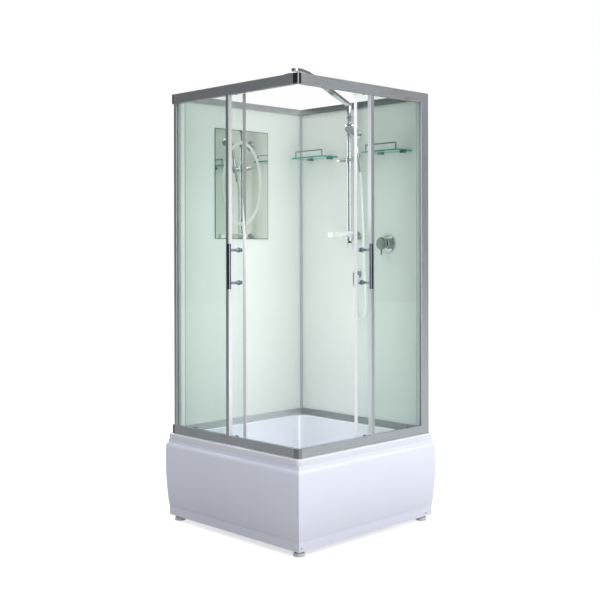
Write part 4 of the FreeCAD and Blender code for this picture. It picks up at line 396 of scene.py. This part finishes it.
def seal_finish(name, tint, front_shade_share):
    """Pale vinyl, with painted shade on the faces that look forwards or backwards."""
    material, tree, shader = new_finish(name)
    across = maths(tree, "ABSOLUTE", object_side(tree, SIDEWAYS, "Normal"))
    cloud = grain(tree, 40.0)
    pale = tints(tree, cloud, rgba(tint, 0.97), rgba(tint, 1.02))
    tree.links.new(mixed(tree, across, rgba(tint, front_shade_share), pale), shader.inputs["Base Color"])
    tree.links.new(between(tree, cloud, *ROUGH["seal"]), shader.inputs["Roughness"])
    return material


def dress(material, *names):
    """Gives CAD nodes one finish."""
    for name in names:
        node = NODES[name]
        node.data.materials.clear()
        node.data.materials.append(material)


# Shaping helpers

def leave_edit():
    """Back to object mode with nothing chosen."""
    if bpy.context.object and bpy.context.object.mode != "OBJECT":
        bpy.ops.object.mode_set(mode="OBJECT")
    bpy.ops.object.select_all(action="DESELECT")


def pick(piece):
    """Makes a piece the only one chosen."""
    leave_edit()
    piece.select_set(True)
    bpy.context.view_layer.objects.active = piece


def start_shape(name, add, **options):
    """Adds a primitive at its place and names it."""
    leave_edit()
    add(**options)
    piece = bpy.context.object
    piece.name = name
    return piece


def edit(piece):
    """Opens a piece for shaping, with nothing chosen."""
    pick(piece)
    bpy.ops.object.mode_set(mode="EDIT")
    bpy.ops.mesh.select_mode(type="FACE")
    bpy.ops.mesh.select_all(action="DESELECT")


def choose(piece, wanted, kind="faces"):
    """Chooses the faces or edges that pass a test."""
    shape = bmesh.from_edit_mesh(piece.data)
    bpy.ops.mesh.select_mode(type={"faces": "FACE", "edges": "EDGE"}[kind])
    for item in getattr(shape, kind):
        item.select = wanted(item)
    shape.select_flush_mode()
    bmesh.update_edit_mesh(piece.data)


def settle(piece, angle=35.0):
    """Puts a finished piece's place in its mesh and smooths its soft edges."""
    pick(piece)
    bpy.ops.object.transform_apply(location=True, rotation=True, scale=True)
    bpy.ops.object.shade_smooth_by_angle(angle=math.radians(angle))
    piece.select_set(False)
    return piece


def fit_out(piece, body, material):
    """Gives a new piece its body, slot and finish."""
    piece.data.materials.clear()
    piece.data.materials.append(material)
    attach(piece, body)
    return piece


def apply_all(piece):
    """Applies a piece's modifiers in order."""
    pick(piece)
    for modifier in list(piece.modifiers):
        bpy.ops.object.modifier_apply(modifier=modifier.name)


def joined(name, pieces):
    """Joins like pieces in one mesh."""
    pick(pieces[0])
    if len(pieces) > 1:
        for piece in pieces:
            piece.select_set(True)
        bpy.ops.object.join()
    whole = bpy.context.object
    whole.name = name
    return whole


class CabinStep:
    """What all of the cabin's operators share."""
    bl_options = {"REGISTER", "UNDO"}

    @classmethod
    def poll(cls, context):
        return context.scene is not None


# Operators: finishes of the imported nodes

class CABIN_OT_acrylic(CabinStep, bpy.types.Operator):
    """Gloss acrylic on the tub and satin acrylic on the aprons"""
    bl_idname = "cabin.acrylic"
    bl_label = "Tub and aprons"

    def execute(self, context):
        dress(moulded_finish("gloss acrylic", colours().acrylic, ROUGH["gloss acrylic"], coat=1.0), "tub")
        satin = moulded_finish("satin acrylic", colours().apron, ROUGH["satin acrylic"], coat=0.2)
        dress(satin, "apron_left", "apron_right")
        return {"FINISHED"}


class CABIN_OT_profiles(CabinStep, bpy.types.Operator):
    """Satin anodised finish on the rails and uprights, with its lines along each profile, painted shade and
    painted light on the back walls' rails, and painted light and shade on the uprights' faces beside the
    doorway
    """
    bl_idname = "cabin.profiles"
    bl_label = "Aluminium profiles"

    def execute(self, context):
        tint = colours().aluminium
        runs = {
            LINES_SIDEWAYS: ("rail_top_left", "rail_bottom_left"),
            LINES_BACKWARDS: ("rail_top_right", "rail_bottom_right"),
            LINES_UPRIGHT: ("back_corner",),
        }
        for stretch, names in runs.items():
            dress(satin_finish("satin aluminium", tint, stretch, bump=0.05), *names)
        # Painted shade on the right wall's rails and painted light on the left wall's, the same aluminium in
        # both
        dress(satin_finish("satin back rail", TINTS["back rail"], LINES_SIDEWAYS), "back_rails_right")
        dress(satin_finish("satin side rail", TINTS["side rail"], LINES_BACKWARDS), "back_rails_left")
        # Painted light on the stiles' and post's faces beside the doorway, painted shade on the channel's
        dress(stile_painted_light("satin stile", tint, TINTS["stile side light"]), "pane_stiles")
        dress(stile_painted_light("satin channel", tint, TINTS["channel side shade"]), "wall_channel")
        dress(stile_painted_light("satin post", tint, TINTS["post side light"]), "wall_post")
        return {"FINISHED"}


class CABIN_OT_glazing(CabinStep, bpy.types.Operator):
    """Clear glass on the panes and doors, green edges on the shelves, pale seals and a clear dish"""
    bl_idname = "cabin.glazing"
    bl_label = "Glass and clear plastic"

    def execute(self, context):
        tint = colours().glass
        edge = colours().glass_edge
        for side, face in (("left", BACKWARDS), ("right", SIDEWAYS)):
            glass = glass_finish(f"clear glass {side}", tint, edge, face, gloss=0.018)
            dress(glass, f"pane_{side}", f"{side}_door_glass")
        shelf = glass_finish("shelf glass", TINTS["shelf glass"], colours().shelf_edge, UPRIGHT,
                             edge_alpha=0.92)
        dress(shelf, "shelf_glasses")
        # Painted shade on the seals' faces that look forwards or backwards
        seal = seal_finish("pale vinyl seal", colours().seal, front_shade_share=0.7)
        dress(seal, "left_door_seal", "right_door_seal")
        dish = glass_finish("clear dish", TINTS["dish"], TINTS["dish edge"], UPRIGHT,
                            edge_alpha=0.35, haze=0.16, solid_half=0.018)
        dress(dish, "soap_dish")
        return {"FINISHED"}


class CABIN_OT_walls(CabinStep, bpy.types.Operator):
    """Pale green back-painted glass on the two walls, and the silvered mirror"""
    bl_idname = "cabin.walls"
    bl_label = "Walls and mirror"

    def execute(self, context):
        wall = moulded_finish("back-painted glass", colours().wall, ROUGH["wall"], coat=0.35, bump=0.004)
        dress(wall, "wall_panel_left", "wall_panel_right")
        dress(self.silvered(), "mirror")
        return {"FINISHED"}

    def silvered(self):
        """Silvered glass with a thin dark green border, where its cut edge shows through."""
        material, tree, shader = new_finish("silvered glass")
        tint = colours().mirror
        low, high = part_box("mirror")
        outside = []
        for direction, first, last in ((BACKWARDS, low.y, high.y), (UPRIGHT, low.z, high.z)):
            place = maths(tree, "SUBTRACT", object_side(tree, direction), (first + last) / 2)
            reach = (last - first) / 2 - sizes().mirror_border
            outside.append(maths(tree, "GREATER_THAN", maths(tree, "ABSOLUTE", place), reach))
        border = maths(tree, "MAXIMUM", *outside)
        cloud = grain(tree, 12.0)
        silver = tints(tree, cloud, rgba(tint, 0.98), rgba(tint))
        paint = mixed(tree, border, silver, rgba(TINTS["mirror border"]))
        tree.links.new(paint, shader.inputs["Base Color"])
        tree.links.new(between(tree, cloud, *ROUGH["mirror"]), shader.inputs["Roughness"])
        tune(shader, Metallic=1.0)
        return material


class CABIN_OT_chrome(CabinStep, bpy.types.Operator):
    """Polished chrome on the fittings, with lighter and darker copies of it that paint highlights and shade
    on some of them
    """
    bl_idname = "cabin.chrome"
    bl_label = "Chrome fittings"

    def execute(self, context):
        dress(
            metal_finish("polished chrome", colours().chrome, ROUGH["chrome"]),
            "riser", "riser_base", "riser_fixings", "slider", "clamp_knob", "hand_holder", "handset",
            "hose_outlet", "head_ball", "rain_head", "mixer_plate", "left_door_rollers",
            "right_door_rollers",
        )
        # Painted highlight: paler chrome on the rain arm
        lit = metal_finish("lit chrome", TINTS["lit chrome"], ROUGH["used chrome"], metallic=0.85)
        dress(lit, "rain_arm")
        # Painted shade: darker chrome on the shelf fittings, the mixer's spindle and its lever
        shaded = metal_finish("shaded chrome", TINTS["shaded chrome"], ROUGH["soft chrome"])
        dress(shaded, "shelf_fittings", "mixer_spindle", "mixer_lever")
        # Painted shade: darker, bluish chrome on the door handles
        dark = metal_finish("dark chrome", colours().handle, ROUGH["chrome"])
        dress(dark, "left_door_handle", "right_door_handle")
        # Painted shade: darker chrome on the rails' end caps
        dress(metal_finish("black chrome", TINTS["black chrome"], ROUGH["black chrome"]), "end_caps")
        # Painted shade: darker chrome on the corner connectors
        corner = metal_finish("corner chrome", TINTS["corner chrome"], ROUGH["soft chrome"], metallic=0.95)
        dress(corner, "corner_connectors")
        dress(self.two_part(), "diverter_knob")
        return {"FINISHED"}

    def two_part(self):
        """The diverter's dark ring over its pale knob."""
        material, tree, shader = new_finish("diverter")
        low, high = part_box("diverter_knob")
        ring_low = low.z + 0.65 * (high.z - low.z)
        ring = maths(tree, "GREATER_THAN", object_side(tree, UPRIGHT), ring_low)
        pale = tints(tree, grain(tree, 60.0), rgba(TINTS["knob low"]), rgba(TINTS["knob high"]))
        paint = mixed(tree, ring, pale, rgba(TINTS["knob ring"]))
        tree.links.new(paint, shader.inputs["Base Color"])
        tune(shader, Roughness=0.18, Coat_Weight=0.4)
        return material


class CABIN_OT_hidden(CabinStep, bpy.types.Operator):
    """Zinc, nylon and copper on the pieces under the tub, in the rails and behind the walls"""
    bl_idname = "cabin.hidden"
    bl_label = "Hidden pieces"

    def execute(self, context):
        zinc = metal_finish("zinc coating", TINTS["zinc"], ROUGH["zinc"], scale=60.0, bump=0.1)
        dress(zinc, "apron_brackets", "tray_frame", "foot_studs", "mixer_valve")
        nylon = moulded_finish("pale nylon", TINTS["nylon"], ROUGH["nylon"], bump=0.05)
        wheels = [f"{side}_wheel_{end}" for side in ("left", "right") for end in ("front", "rear")]
        dress(nylon, "waste_trap", *wheels)
        dress(metal_finish("copper pipe", TINTS["copper"], ROUGH["copper"], scale=40.0), "supply_line")
        return {"FINISHED"}


# Operators: new pieces

HOSE_ROUTE = (
    (0.060, 0.3511, 1.6876), (0.060, 0.3626, 1.6287), (0.061, 0.366, 1.560), (0.064, 0.371, 1.440),
    (0.068, 0.372, 1.320), (0.075, 0.368, 1.205), (0.086, 0.362, 1.105), (0.096, 0.356, 1.025),
    (0.097, 0.354, 0.968), (0.072, 0.360, 0.932), (0.032, 0.370, 0.930), (0.005, 0.377, 0.962),
    (-0.001, 0.379, 1.016), (0.0, 0.378, 1.068), (0.0, 0.378, 1.120),
)


def hose_line():
    """The hose's smooth line, from the handset to the wall outlet, read from its route's curve."""
    curve = bpy.data.curves.new("hose_route", "CURVE")
    curve.dimensions = "3D"
    spline = curve.splines.new("NURBS")
    spline.points.add(len(HOSE_ROUTE) - 1)
    for point, spot in zip(spline.points, HOSE_ROUTE):
        point.co = (*spot, 1.0)
    spline.order_u = 3
    spline.use_endpoint_u = True
    spline.resolution_u = 12
    holder = bpy.data.objects.new("hose_route", curve)
    bpy.context.scene.collection.objects.link(holder)
    mesh = bpy.data.meshes.new_from_object(holder)
    line = [vertex.co.copy() for vertex in mesh.vertices]
    bpy.data.objects.remove(holder)
    bpy.data.meshes.remove(mesh)
    return line


def hose_tube(name, line, radius, sides):
    """A round tube along a line, turned from a bevelled curve to a mesh."""
    curve = bpy.data.curves.new(name, "CURVE")
    curve.dimensions = "3D"
    curve.bevel_depth = radius
    curve.bevel_resolution = sides // 4 - 1
    curve.use_fill_caps = True
    spline = curve.splines.new("POLY")
    spline.points.add(len(line) - 1)
    for point, spot in zip(spline.points, line):
        point.co = (*spot, 1.0)
    piece = bpy.data.objects.new(name, curve)
    bpy.context.scene.collection.objects.link(piece)
    pick(piece)
    bpy.ops.object.convert(target="MESH")
    piece = bpy.context.object
    piece.name = name
    return settle(piece, 60.0)


class CABIN_OT_hose(CabinStep, bpy.types.Operator):
    """The smooth shower hose, from the wall outlet up to the handset"""
    bl_idname = "cabin.hose"
    bl_label = "Shower hose"

    def execute(self, context):
        line = hose_line()
        radius = sizes().hose_radius
        split = next(number for number, spot in enumerate(line) if spot.z < sizes().hose_split)
        upper = line[:split + 1]
        lower = line[split:]
        vinyl = moulded_finish("smooth vinyl", TINTS["vinyl"], ROUGH["vinyl"], coat=0.3, bump=0.03)
        for name, part, low_body, high_body, start, end in (
            ("hose_lower", lower[::-1], "root", "hand_slider", (0.083, 0.363, 1.13), (0.061, 0.366, 1.60)),
            ("hose_upper", upper[::-1], "hand_slider", "holder", (0.061, 0.363, 1.605),
             (0.060, 0.352, 1.675)),
        ):
            piece = hose_tube(name, part, radius, sizes().hose_sides)
            piece.data.materials.append(vinyl)
            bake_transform(piece)
            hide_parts("hose")
        return {"FINISHED"}


def face_at(piece, level):
    """Chooses the flat faces across Z at one height."""
    choose(piece, lambda face: abs(face.normal.z) > 0.99 and abs(face.calc_center_median().z - level) < 1e-5)


def rim_at(piece, level):
    """Chooses the edges that lie flat at one height."""
    choose(piece, lambda rim: all(abs(corner.co.z - level) < 1e-5 for corner in rim.verts), "edges")


def steps(piece, level, moves):
    """Insets and then extrudes a flat face again and again, from its first height."""
    for inward, up in moves:
        face_at(piece, level)
        if inward:
            bpy.ops.mesh.inset(thickness=inward)
        bpy.ops.mesh.extrude_region_move(TRANSFORM_OT_translate={"value": (0.0, 0.0, up)})
        level += up
    return level


def stand(piece):
    """Puts a primitive's height above the ground plane in its mesh."""
    bpy.ops.object.transform_apply(location=True, rotation=False, scale=False)
    return piece


def disc(name, sides, radius, high, bevel):
    """A low round disc on the ground plane with a rounded upper edge."""
    piece = stand(start_shape(name, bpy.ops.mesh.primitive_cylinder_add, vertices=sides, radius=radius,
                              depth=high, location=(0.0, 0.0, high / 2)))
    edit(piece)
    rim_at(piece, high)
    bpy.ops.mesh.bevel(offset=bevel, segments=3)
    return piece


def copies(name, piece, places):
    """Copies a piece to each place, turned to face its direction, and joins the copies."""
    made = []
    for spot, direction in places:
        pick(piece)
        bpy.ops.object.duplicate(linked=False)
        fresh = bpy.context.object
        fresh.location = spot
        fresh.rotation_euler = Vector(UPRIGHT).rotation_difference(Vector(direction)).to_euler()
        made.append(fresh)
    bpy.data.objects.remove(piece)
    return settle(joined(name, made))


# Details of the turned pieces: widths of rings and rounded edges, and (inward, up) for each step of a face
PAD_ROUND = 0.002
PAD_RING = 0.004
PAD_SUNK = 0.0012
PAD_UNDER = ((0.004, 0.001),)
SCREW_ROUND = 0.0008
SCREW_DRIVE = ((0.0014, -0.0012),)
COVER_ROUND = 0.0015
COVER_FACE = ((0.008, -0.0012), (0.003, 0.0012), (0.016, -0.0008))
PLATE_ROUND = 0.0004


class CABIN_OT_feet(CabinStep, bpy.types.Operator):
    """Pale levelling pads with a sunk ring and a raised boss"""
    bl_idname = "cabin.feet"
    bl_label = "Foot pads"

    def execute(self, context):
        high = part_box("foot_pads")[1]
        radius = sizes().pad_radius
        disc_high = sizes().pad_high
        piece = disc("foot_pads_moulded", 48, radius, disc_high, PAD_ROUND)
        ledge = radius - PAD_ROUND - PAD_RING - sizes().pad_boss
        level = steps(piece, disc_high, ((PAD_RING, -PAD_SUNK), (ledge, PAD_SUNK)))
        steps(piece, level, ((0.0, high.z - level),))
        steps(piece, 0.0, PAD_UNDER)
        leave_edit()
        reach = high.x - radius
        places = [((x * reach, y * reach, 0.0), UPRIGHT) for x in (-1, 1) for y in (-1, 1)]
        pads = copies("foot_pads_moulded", piece, places + [((0.0, 0.0, 0.0), UPRIGHT)])
        plastic = moulded_finish("pale foot plastic", TINTS["foot"], ROUGH["foot"], bump=0.1)
        fit_out(pads, "root", plastic)
        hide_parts("foot_pads")
        return {"FINISHED"}


class CABIN_OT_screws(CabinStep, bpy.types.Operator):
    """Chrome screws with a sunk drive in their heads"""
    bl_idname = "cabin.screws"
    bl_label = "Apron screws"

    def execute(self, context):
        low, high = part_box("apron_screws")
        wide = sizes().screw_head
        drop = sizes().screw_drop
        piece = disc("apron_screws_turned", 32, wide, drop, SCREW_ROUND)
        steps(piece, drop, SCREW_DRIVE)
        steps(piece, 0.0, ((wide - sizes().screw_shank, -sizes().screw_reach),))
        leave_edit()
        middle = (low.z + high.z) / 2
        face = high.x - drop
        far = high.y - wide
        corner = wide - sizes().screw_corner
        forwards = (0.0, -1.0, 0.0)
        places = (
            ((low.x + wide, -face, middle), forwards), ((far, -face, middle), forwards),
            ((face, far, middle), SIDEWAYS), ((face, corner, middle), SIDEWAYS),
        )
        screws = copies("apron_screws_turned", piece, places)
        chrome = metal_finish("screw chrome", colours().chrome, ROUGH["used chrome"])
        fit_out(screws, "root", chrome)
        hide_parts("apron_screws")
        return {"FINISHED"}


class CABIN_OT_waste(CabinStep, bpy.types.Operator):
    """The chrome waste cover with a sunk ring and a raised middle"""
    bl_idname = "cabin.waste"
    bl_label = "Waste cover"

    def execute(self, context):
        low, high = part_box("waste_cover")
        tall = high.z - low.z
        piece = disc("waste_cover_turned", 64, (high.x - low.x) / 2, tall, COVER_ROUND)
        steps(piece, tall, COVER_FACE)
        leave_edit()
        middle = (low + high) / 2
        cover = copies("waste_cover_turned", piece, [((middle.x, middle.y, low.z), UPRIGHT)])
        chrome = metal_finish("cover chrome", colours().chrome, ROUGH["soft chrome"])
        fit_out(cover, "root", chrome)
        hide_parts("waste_cover")
        return {"FINISHED"}


class CABIN_OT_sprays(CabinStep, bpy.types.Operator):
    """Nozzle plates with rings of soft nozzles, under the rain head and on the handset"""
    bl_idname = "cabin.sprays"
    bl_label = "Nozzle plates"

    HEAD_LEAN = math.radians(5.0)
    HAND_TILT = math.radians(55.0)
    HAND_PLACE = (0.060, 0.292, 1.855)
    FIRST_RING = 0.006

    def rings(self, gap, more, count):
        """Each ring's radius and number of nozzles, from the inside out."""
        return [(self.FIRST_RING + gap * ring, 6 + more * ring) for ring in range(count)]

    def nozzles(self, name, rings, level):
        """Rings of small open nozzles standing on a plate."""
        radius = sizes().nozzle
        tall = 0.8 * radius
        piece = stand(start_shape(name, bpy.ops.mesh.primitive_cone_add, vertices=8, radius1=radius,
                                  radius2=0.7 * radius, depth=tall, location=(0.0, 0.0, tall / 2)))
        edit(piece)
        steps(piece, tall, ((0.35 * radius, -tall / 2),))
        leave_edit()
        places = []
        for reach, count in rings:
            for number in range(count):
                angle = 2 * math.pi * number / count
                places.append(((reach * math.cos(angle), reach * math.sin(angle), level), UPRIGHT))
        return copies(name, piece, places)

    def execute(self, context):
        thick = sizes().plate_high
        pale = moulded_finish("pale nozzle plate", TINTS["pale plate"], ROUGH["plate"], coat=0.3)
        grey = moulded_finish("grey nozzle plate", TINTS["grey plate"], ROUGH["plate"], coat=0.3)
        nozzle_finish = moulded_finish("soft nozzle", TINTS["soft nozzle"], ROUGH["soft nozzle"])
        ball_low, ball_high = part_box("head_ball")
        up = Vector((0.0, math.sin(self.HEAD_LEAN), math.cos(self.HEAD_LEAN)))
        under = (ball_low + ball_high) / 2 - sizes().rain_fall * up
        out = Vector((0.0, -math.cos(self.HAND_TILT), -math.sin(self.HAND_TILT)))
        heads = (
            ("rain", sizes().rain_face, under, -up, "overhead_head", pale, self.rings(0.01, 6, 5)),
            ("hand", sizes().hand_face, Vector(self.HAND_PLACE), out, "hand_shower", grey,
             self.rings(0.008, 5, 4)),
        )
        for name, radius, spot, direction, body, finish, rings in heads:
            plate = disc(f"{name}_nozzle_plate", 64, radius, thick, PLATE_ROUND)
            leave_edit()
            plate = copies(f"{name}_nozzle_plate", plate, [(spot, direction)])
            fit_out(plate, body, finish)
            dots = self.nozzles(f"{name}_nozzles", rings, thick)
            dots = copies(f"{name}_nozzles", dots, [(spot, direction)])
            fit_out(dots, body, nozzle_finish)
        return {"FINISHED"}


class CABIN_OT_mirror_oval(CabinStep, bpy.types.Operator):
    """The plain oval line etched in the mirror"""
    bl_idname = "cabin.mirror_oval"
    bl_label = "Mirror oval"

    def execute(self, context):
        low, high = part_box("mirror")
        middle = (low + high) / 2
        spot = (high.x, middle.y, sizes().oval_middle_z)
        piece = start_shape("mirror_oval", bpy.ops.mesh.primitive_circle_add, vertices=96, radius=0.5,
                            fill_type="NGON", location=spot, rotation=(0.0, math.pi / 2, 0.0))
        piece.scale = (sizes().oval_height, sizes().oval_width, 1.0)
        bpy.ops.object.transform_apply(location=True, rotation=True, scale=True)
        edit(piece)
        bpy.ops.mesh.select_all(action="SELECT")
        bpy.ops.mesh.inset(thickness=sizes().oval_band)
        bpy.ops.mesh.delete(type="FACE")
        bpy.ops.mesh.select_all(action="SELECT")
        bpy.ops.mesh.normals_make_consistent(inside=False)
        leave_edit()
        wall = piece.modifiers.new("depth", "SOLIDIFY")
        wall.thickness = sizes().oval_depth
        wall.offset = 0.0
        apply_all(piece)
        settle(piece)
        etched = moulded_finish("etched glass", TINTS["etched glass"], ROUGH["etched glass"], bump=0.05)
        fit_out(piece, "root", etched)
        return {"FINISHED"}


# The studio. Each lamp: name, place, aim, width, height and watts
LAMPS = (
    ("key", (4.2, 0.4, 2.4), (0.0, 0.0, 1.2), 3.2, 3.2, 82.0),
    ("fill", (-0.8, -4.6, 2.2), (0.0, 0.0, 1.1), 3.0, 3.0, 24.0),
    ("top", (0.5, -1.6, 4.4), (0.0, -0.2, 0.8), 2.6, 2.6, 30.0),
    ("inside", (0.24, -0.26, 1.08), (-0.44, 0.40, 1.0), 0.48, 1.2, 3.6),
    ("upper", (0.36, -0.05, 1.75), (0.41, 0.44, 1.78), 0.3, 0.75, 0.4),
)
EYE = (3.4482, -3.3722, 1.284)
EYE_TURN = (90.0, 0.12, 45.64)
LENS = 61.22
LENS_SHIFT = -0.087
FLOOR_SIDE = 30.0
FLOOR_DROP = 0.0004

# Light by direction. Each stop is (place, level), where place 0 is against the direction and 1 along it
SOFT_WAY = (0.66, 0.62, 0.42)
SOFT_LEVELS = ((0.05, 0.2), (0.95, 1.25), (0.3, 0.45), (0.5, 0.9))
SOFT_STRENGTH = 0.62
STRIP_SIDE = (0.485, 0.875, 0.0)
SIDE_LEVELS = ((0.0, 0.3), (1.0, 1.25), (0.35, 0.5), (0.42, 0.9), (0.44, 4.0), (0.56, 4.0), (0.58, 1.1))
HEIGHT_LEVELS = ((0.4, 0.9), (1.0, 0.4), (0.44, 0.05), (0.6, 0.05), (0.67, 1.0), (0.8, 1.15))
FRONT_LEVELS = ((0.0, 0.0), (1.0, 1.0), (0.79, 0.0), (0.84, 0.45), (0.88, 0.45), (0.95, 1.0))


class CABIN_OT_stage(CabinStep, bpy.types.Operator):
    """The pale floor, the soft lights and the camera"""
    bl_idname = "cabin.stage"
    bl_label = "Stage"

    def execute(self, context):
        scene = context.scene
        floor = start_shape("floor", bpy.ops.mesh.primitive_plane_add, size=FLOOR_SIDE,
                            location=(0.0, 0.0, -FLOOR_DROP))
        settle(floor)
        floor.data.materials.append(self.paper())
        self.light_room(scene)
        for name, spot, aim, wide, high, power in LAMPS:
            lamp = bpy.data.lights.new(name, "AREA")
            lamp.shape = "RECTANGLE"
            lamp.size = wide
            lamp.size_y = high
            lamp.energy = power
            lamp.specular_factor = 0.0
            holder = bpy.data.objects.new(name, lamp)
            holder.location = spot
            holder.visible_camera = False
            holder.visible_glossy = False
            holder.rotation_euler = (Vector(aim) - Vector(spot)).to_track_quat("-Z", "Y").to_euler()
            scene.collection.objects.link(holder)
        lens = bpy.data.cameras.new("camera")
        lens.sensor_width = 36.0
        lens.lens = LENS
        lens.shift_y = LENS_SHIFT
        camera = bpy.data.objects.new("camera", lens)
        camera.location = EYE
        camera.rotation_euler = [math.radians(turn) for turn in EYE_TURN]
        scene.collection.objects.link(camera)
        scene.camera = camera
        scene.view_settings.view_transform = "Standard"
        return {"FINISHED"}

    def paper(self):
        """White paper to the eye, and a grey sweep in reflections.

        The soft light that it sends up is weaker to the left and near the cabin.
        """
        material, tree, shader = new_finish("pale floor")
        nodes = tree.nodes
        cloud = grain(tree, 2.0)
        white = tints(tree, cloud, rgba((0.90, 0.90, 0.90)), rgba((0.93, 0.93, 0.93)))
        tree.links.new(white, shader.inputs["Base Color"])
        tune(shader, Roughness=0.9, Emission_Color=(1.0, 1.0, 1.0, 1.0), Emission_Strength=0.55)
        across = object_side(tree, RIGHT_OF_CORNER)
        sweep = nodes.new("ShaderNodeEmission")
        tree.links.new(between(tree, across, 0.28, 0.7, start=-2.5, end=2.5), sweep.inputs["Strength"])
        away = nodes.new("ShaderNodeVectorMath")
        away.operation = "LENGTH"
        tree.links.new(object_place(tree), away.inputs[0])
        soft = between(tree, across, 0.5, 0.95, start=-1.2, end=1.2)
        near = between(tree, away.outputs["Value"], 0.35, 1.12, start=0.5, end=1.6)
        bounce = nodes.new("ShaderNodeEmission")
        tree.links.new(maths(tree, "MULTIPLY", soft, near), bounce.inputs["Strength"])
        path = nodes.new("ShaderNodeLightPath").outputs
        lit = chosen(tree, path["Is Diffuse Ray"], shader.outputs[0], bounce.outputs[0])
        surface = chosen(tree, path["Is Glossy Ray"], lit, sweep.outputs[0])
        tree.links.new(surface, nodes["Material Output"].inputs["Surface"])
        return material

    def light_room(self, scene):
        """A white backdrop to the eye, soft light, and in reflections a darker room with a bright strip."""
        world = bpy.data.worlds.new("studio")
        scene.world = world
        world.use_nodes = True
        tree = world.node_tree
        nodes = tree.nodes
        nodes.clear()
        output = nodes.new("ShaderNodeOutputWorld")
        way = nodes.new("ShaderNodeTexCoord").outputs["Generated"]

        def levels(direction, stops):
            ramp = nodes.new("ShaderNodeValToRGB")
            elements = ramp.color_ramp.elements
            for number, (position, level) in enumerate(stops):
                element = elements[number] if number < 2 else elements.new(position)
                element.position = position
                element.color = (level * 0.98, level * 0.99, level, 1.0)
            span = between(tree, reach_along(tree, way, direction), 0.0, 1.0, start=-1.0, end=1.0)
            tree.links.new(span, ramp.inputs["Fac"])
            return ramp.outputs["Color"]

        def light(paint, strength=1.0):
            background = nodes.new("ShaderNodeBackground")
            background.inputs["Strength"].default_value = strength
            put(tree, paint, background.inputs["Color"])
            return background.outputs[0]

        sides = levels(STRIP_SIDE, SIDE_LEVELS)
        heights = levels(UPRIGHT, HEIGHT_LEVELS)
        front = levels(OUT_OF_CORNER, FRONT_LEVELS)
        open_front = mixed(tree, 1.0, heights, front, "LIGHTEN")
        mirrored = light(mixed(tree, 1.0, sides, open_front, "MULTIPLY"))
        soft = light(levels(SOFT_WAY, SOFT_LEVELS), SOFT_STRENGTH)
        seen = light((1.0, 1.0, 1.0, 1.0))
        path = nodes.new("ShaderNodeLightPath").outputs
        by_gloss = chosen(tree, path["Is Glossy Ray"], soft, mirrored)
        tree.links.new(chosen(tree, path["Is Camera Ray"], by_gloss, seen), output.inputs["Surface"])


class CABIN_PT_steps(bpy.types.Panel):
    """Lists the cabin's steps, sizes and colours"""
    bl_idname = "CABIN_PT_steps"
    bl_label = "Shower cabin"
    bl_space_type = "VIEW_3D"
    bl_region_type = "UI"
    bl_category = "Cabin"

    def draw(self, context):
        column = self.layout.column(align=True)
        for step in STEPS:
            column.operator(step.bl_idname)
        for group in (context.scene.cabin_sizes, context.scene.cabin_colours):
            fields = self.layout.column(align=True)
            for field in group.__annotations__:
                fields.prop(group, field)


STEPS = (
    CABIN_OT_stage,
    CABIN_OT_hose,
    CABIN_OT_acrylic,
    CABIN_OT_profiles,
    CABIN_OT_glazing,
    CABIN_OT_walls,
    CABIN_OT_chrome,
    CABIN_OT_hidden,
    CABIN_OT_mirror_oval,
    CABIN_OT_feet,
    CABIN_OT_screws,
    CABIN_OT_waste,
    CABIN_OT_sprays,
)

CLASSES = (CabinSizes, CabinColours) + STEPS + (CABIN_PT_steps,)


def register():
    """Registers the classes and the scene's settings."""
    for item in CLASSES:
        bpy.utils.register_class(item)
    bpy.types.Scene.cabin_sizes = PointerProperty(type=CabinSizes)
    bpy.types.Scene.cabin_colours = PointerProperty(type=CabinColours)


def unregister():
    """Takes the settings and the classes away again."""
    del bpy.types.Scene.cabin_colours
    del bpy.types.Scene.cabin_sizes
    for item in reversed(CLASSES):
        bpy.utils.unregister_class(item)


def main():
    """Dresses the cabin step by step."""
    register()
    for step in STEPS:
        group, name = step.bl_idname.split(".")
        getattr(getattr(bpy.ops, group), name)()


if __name__ == "__main__":
    main()
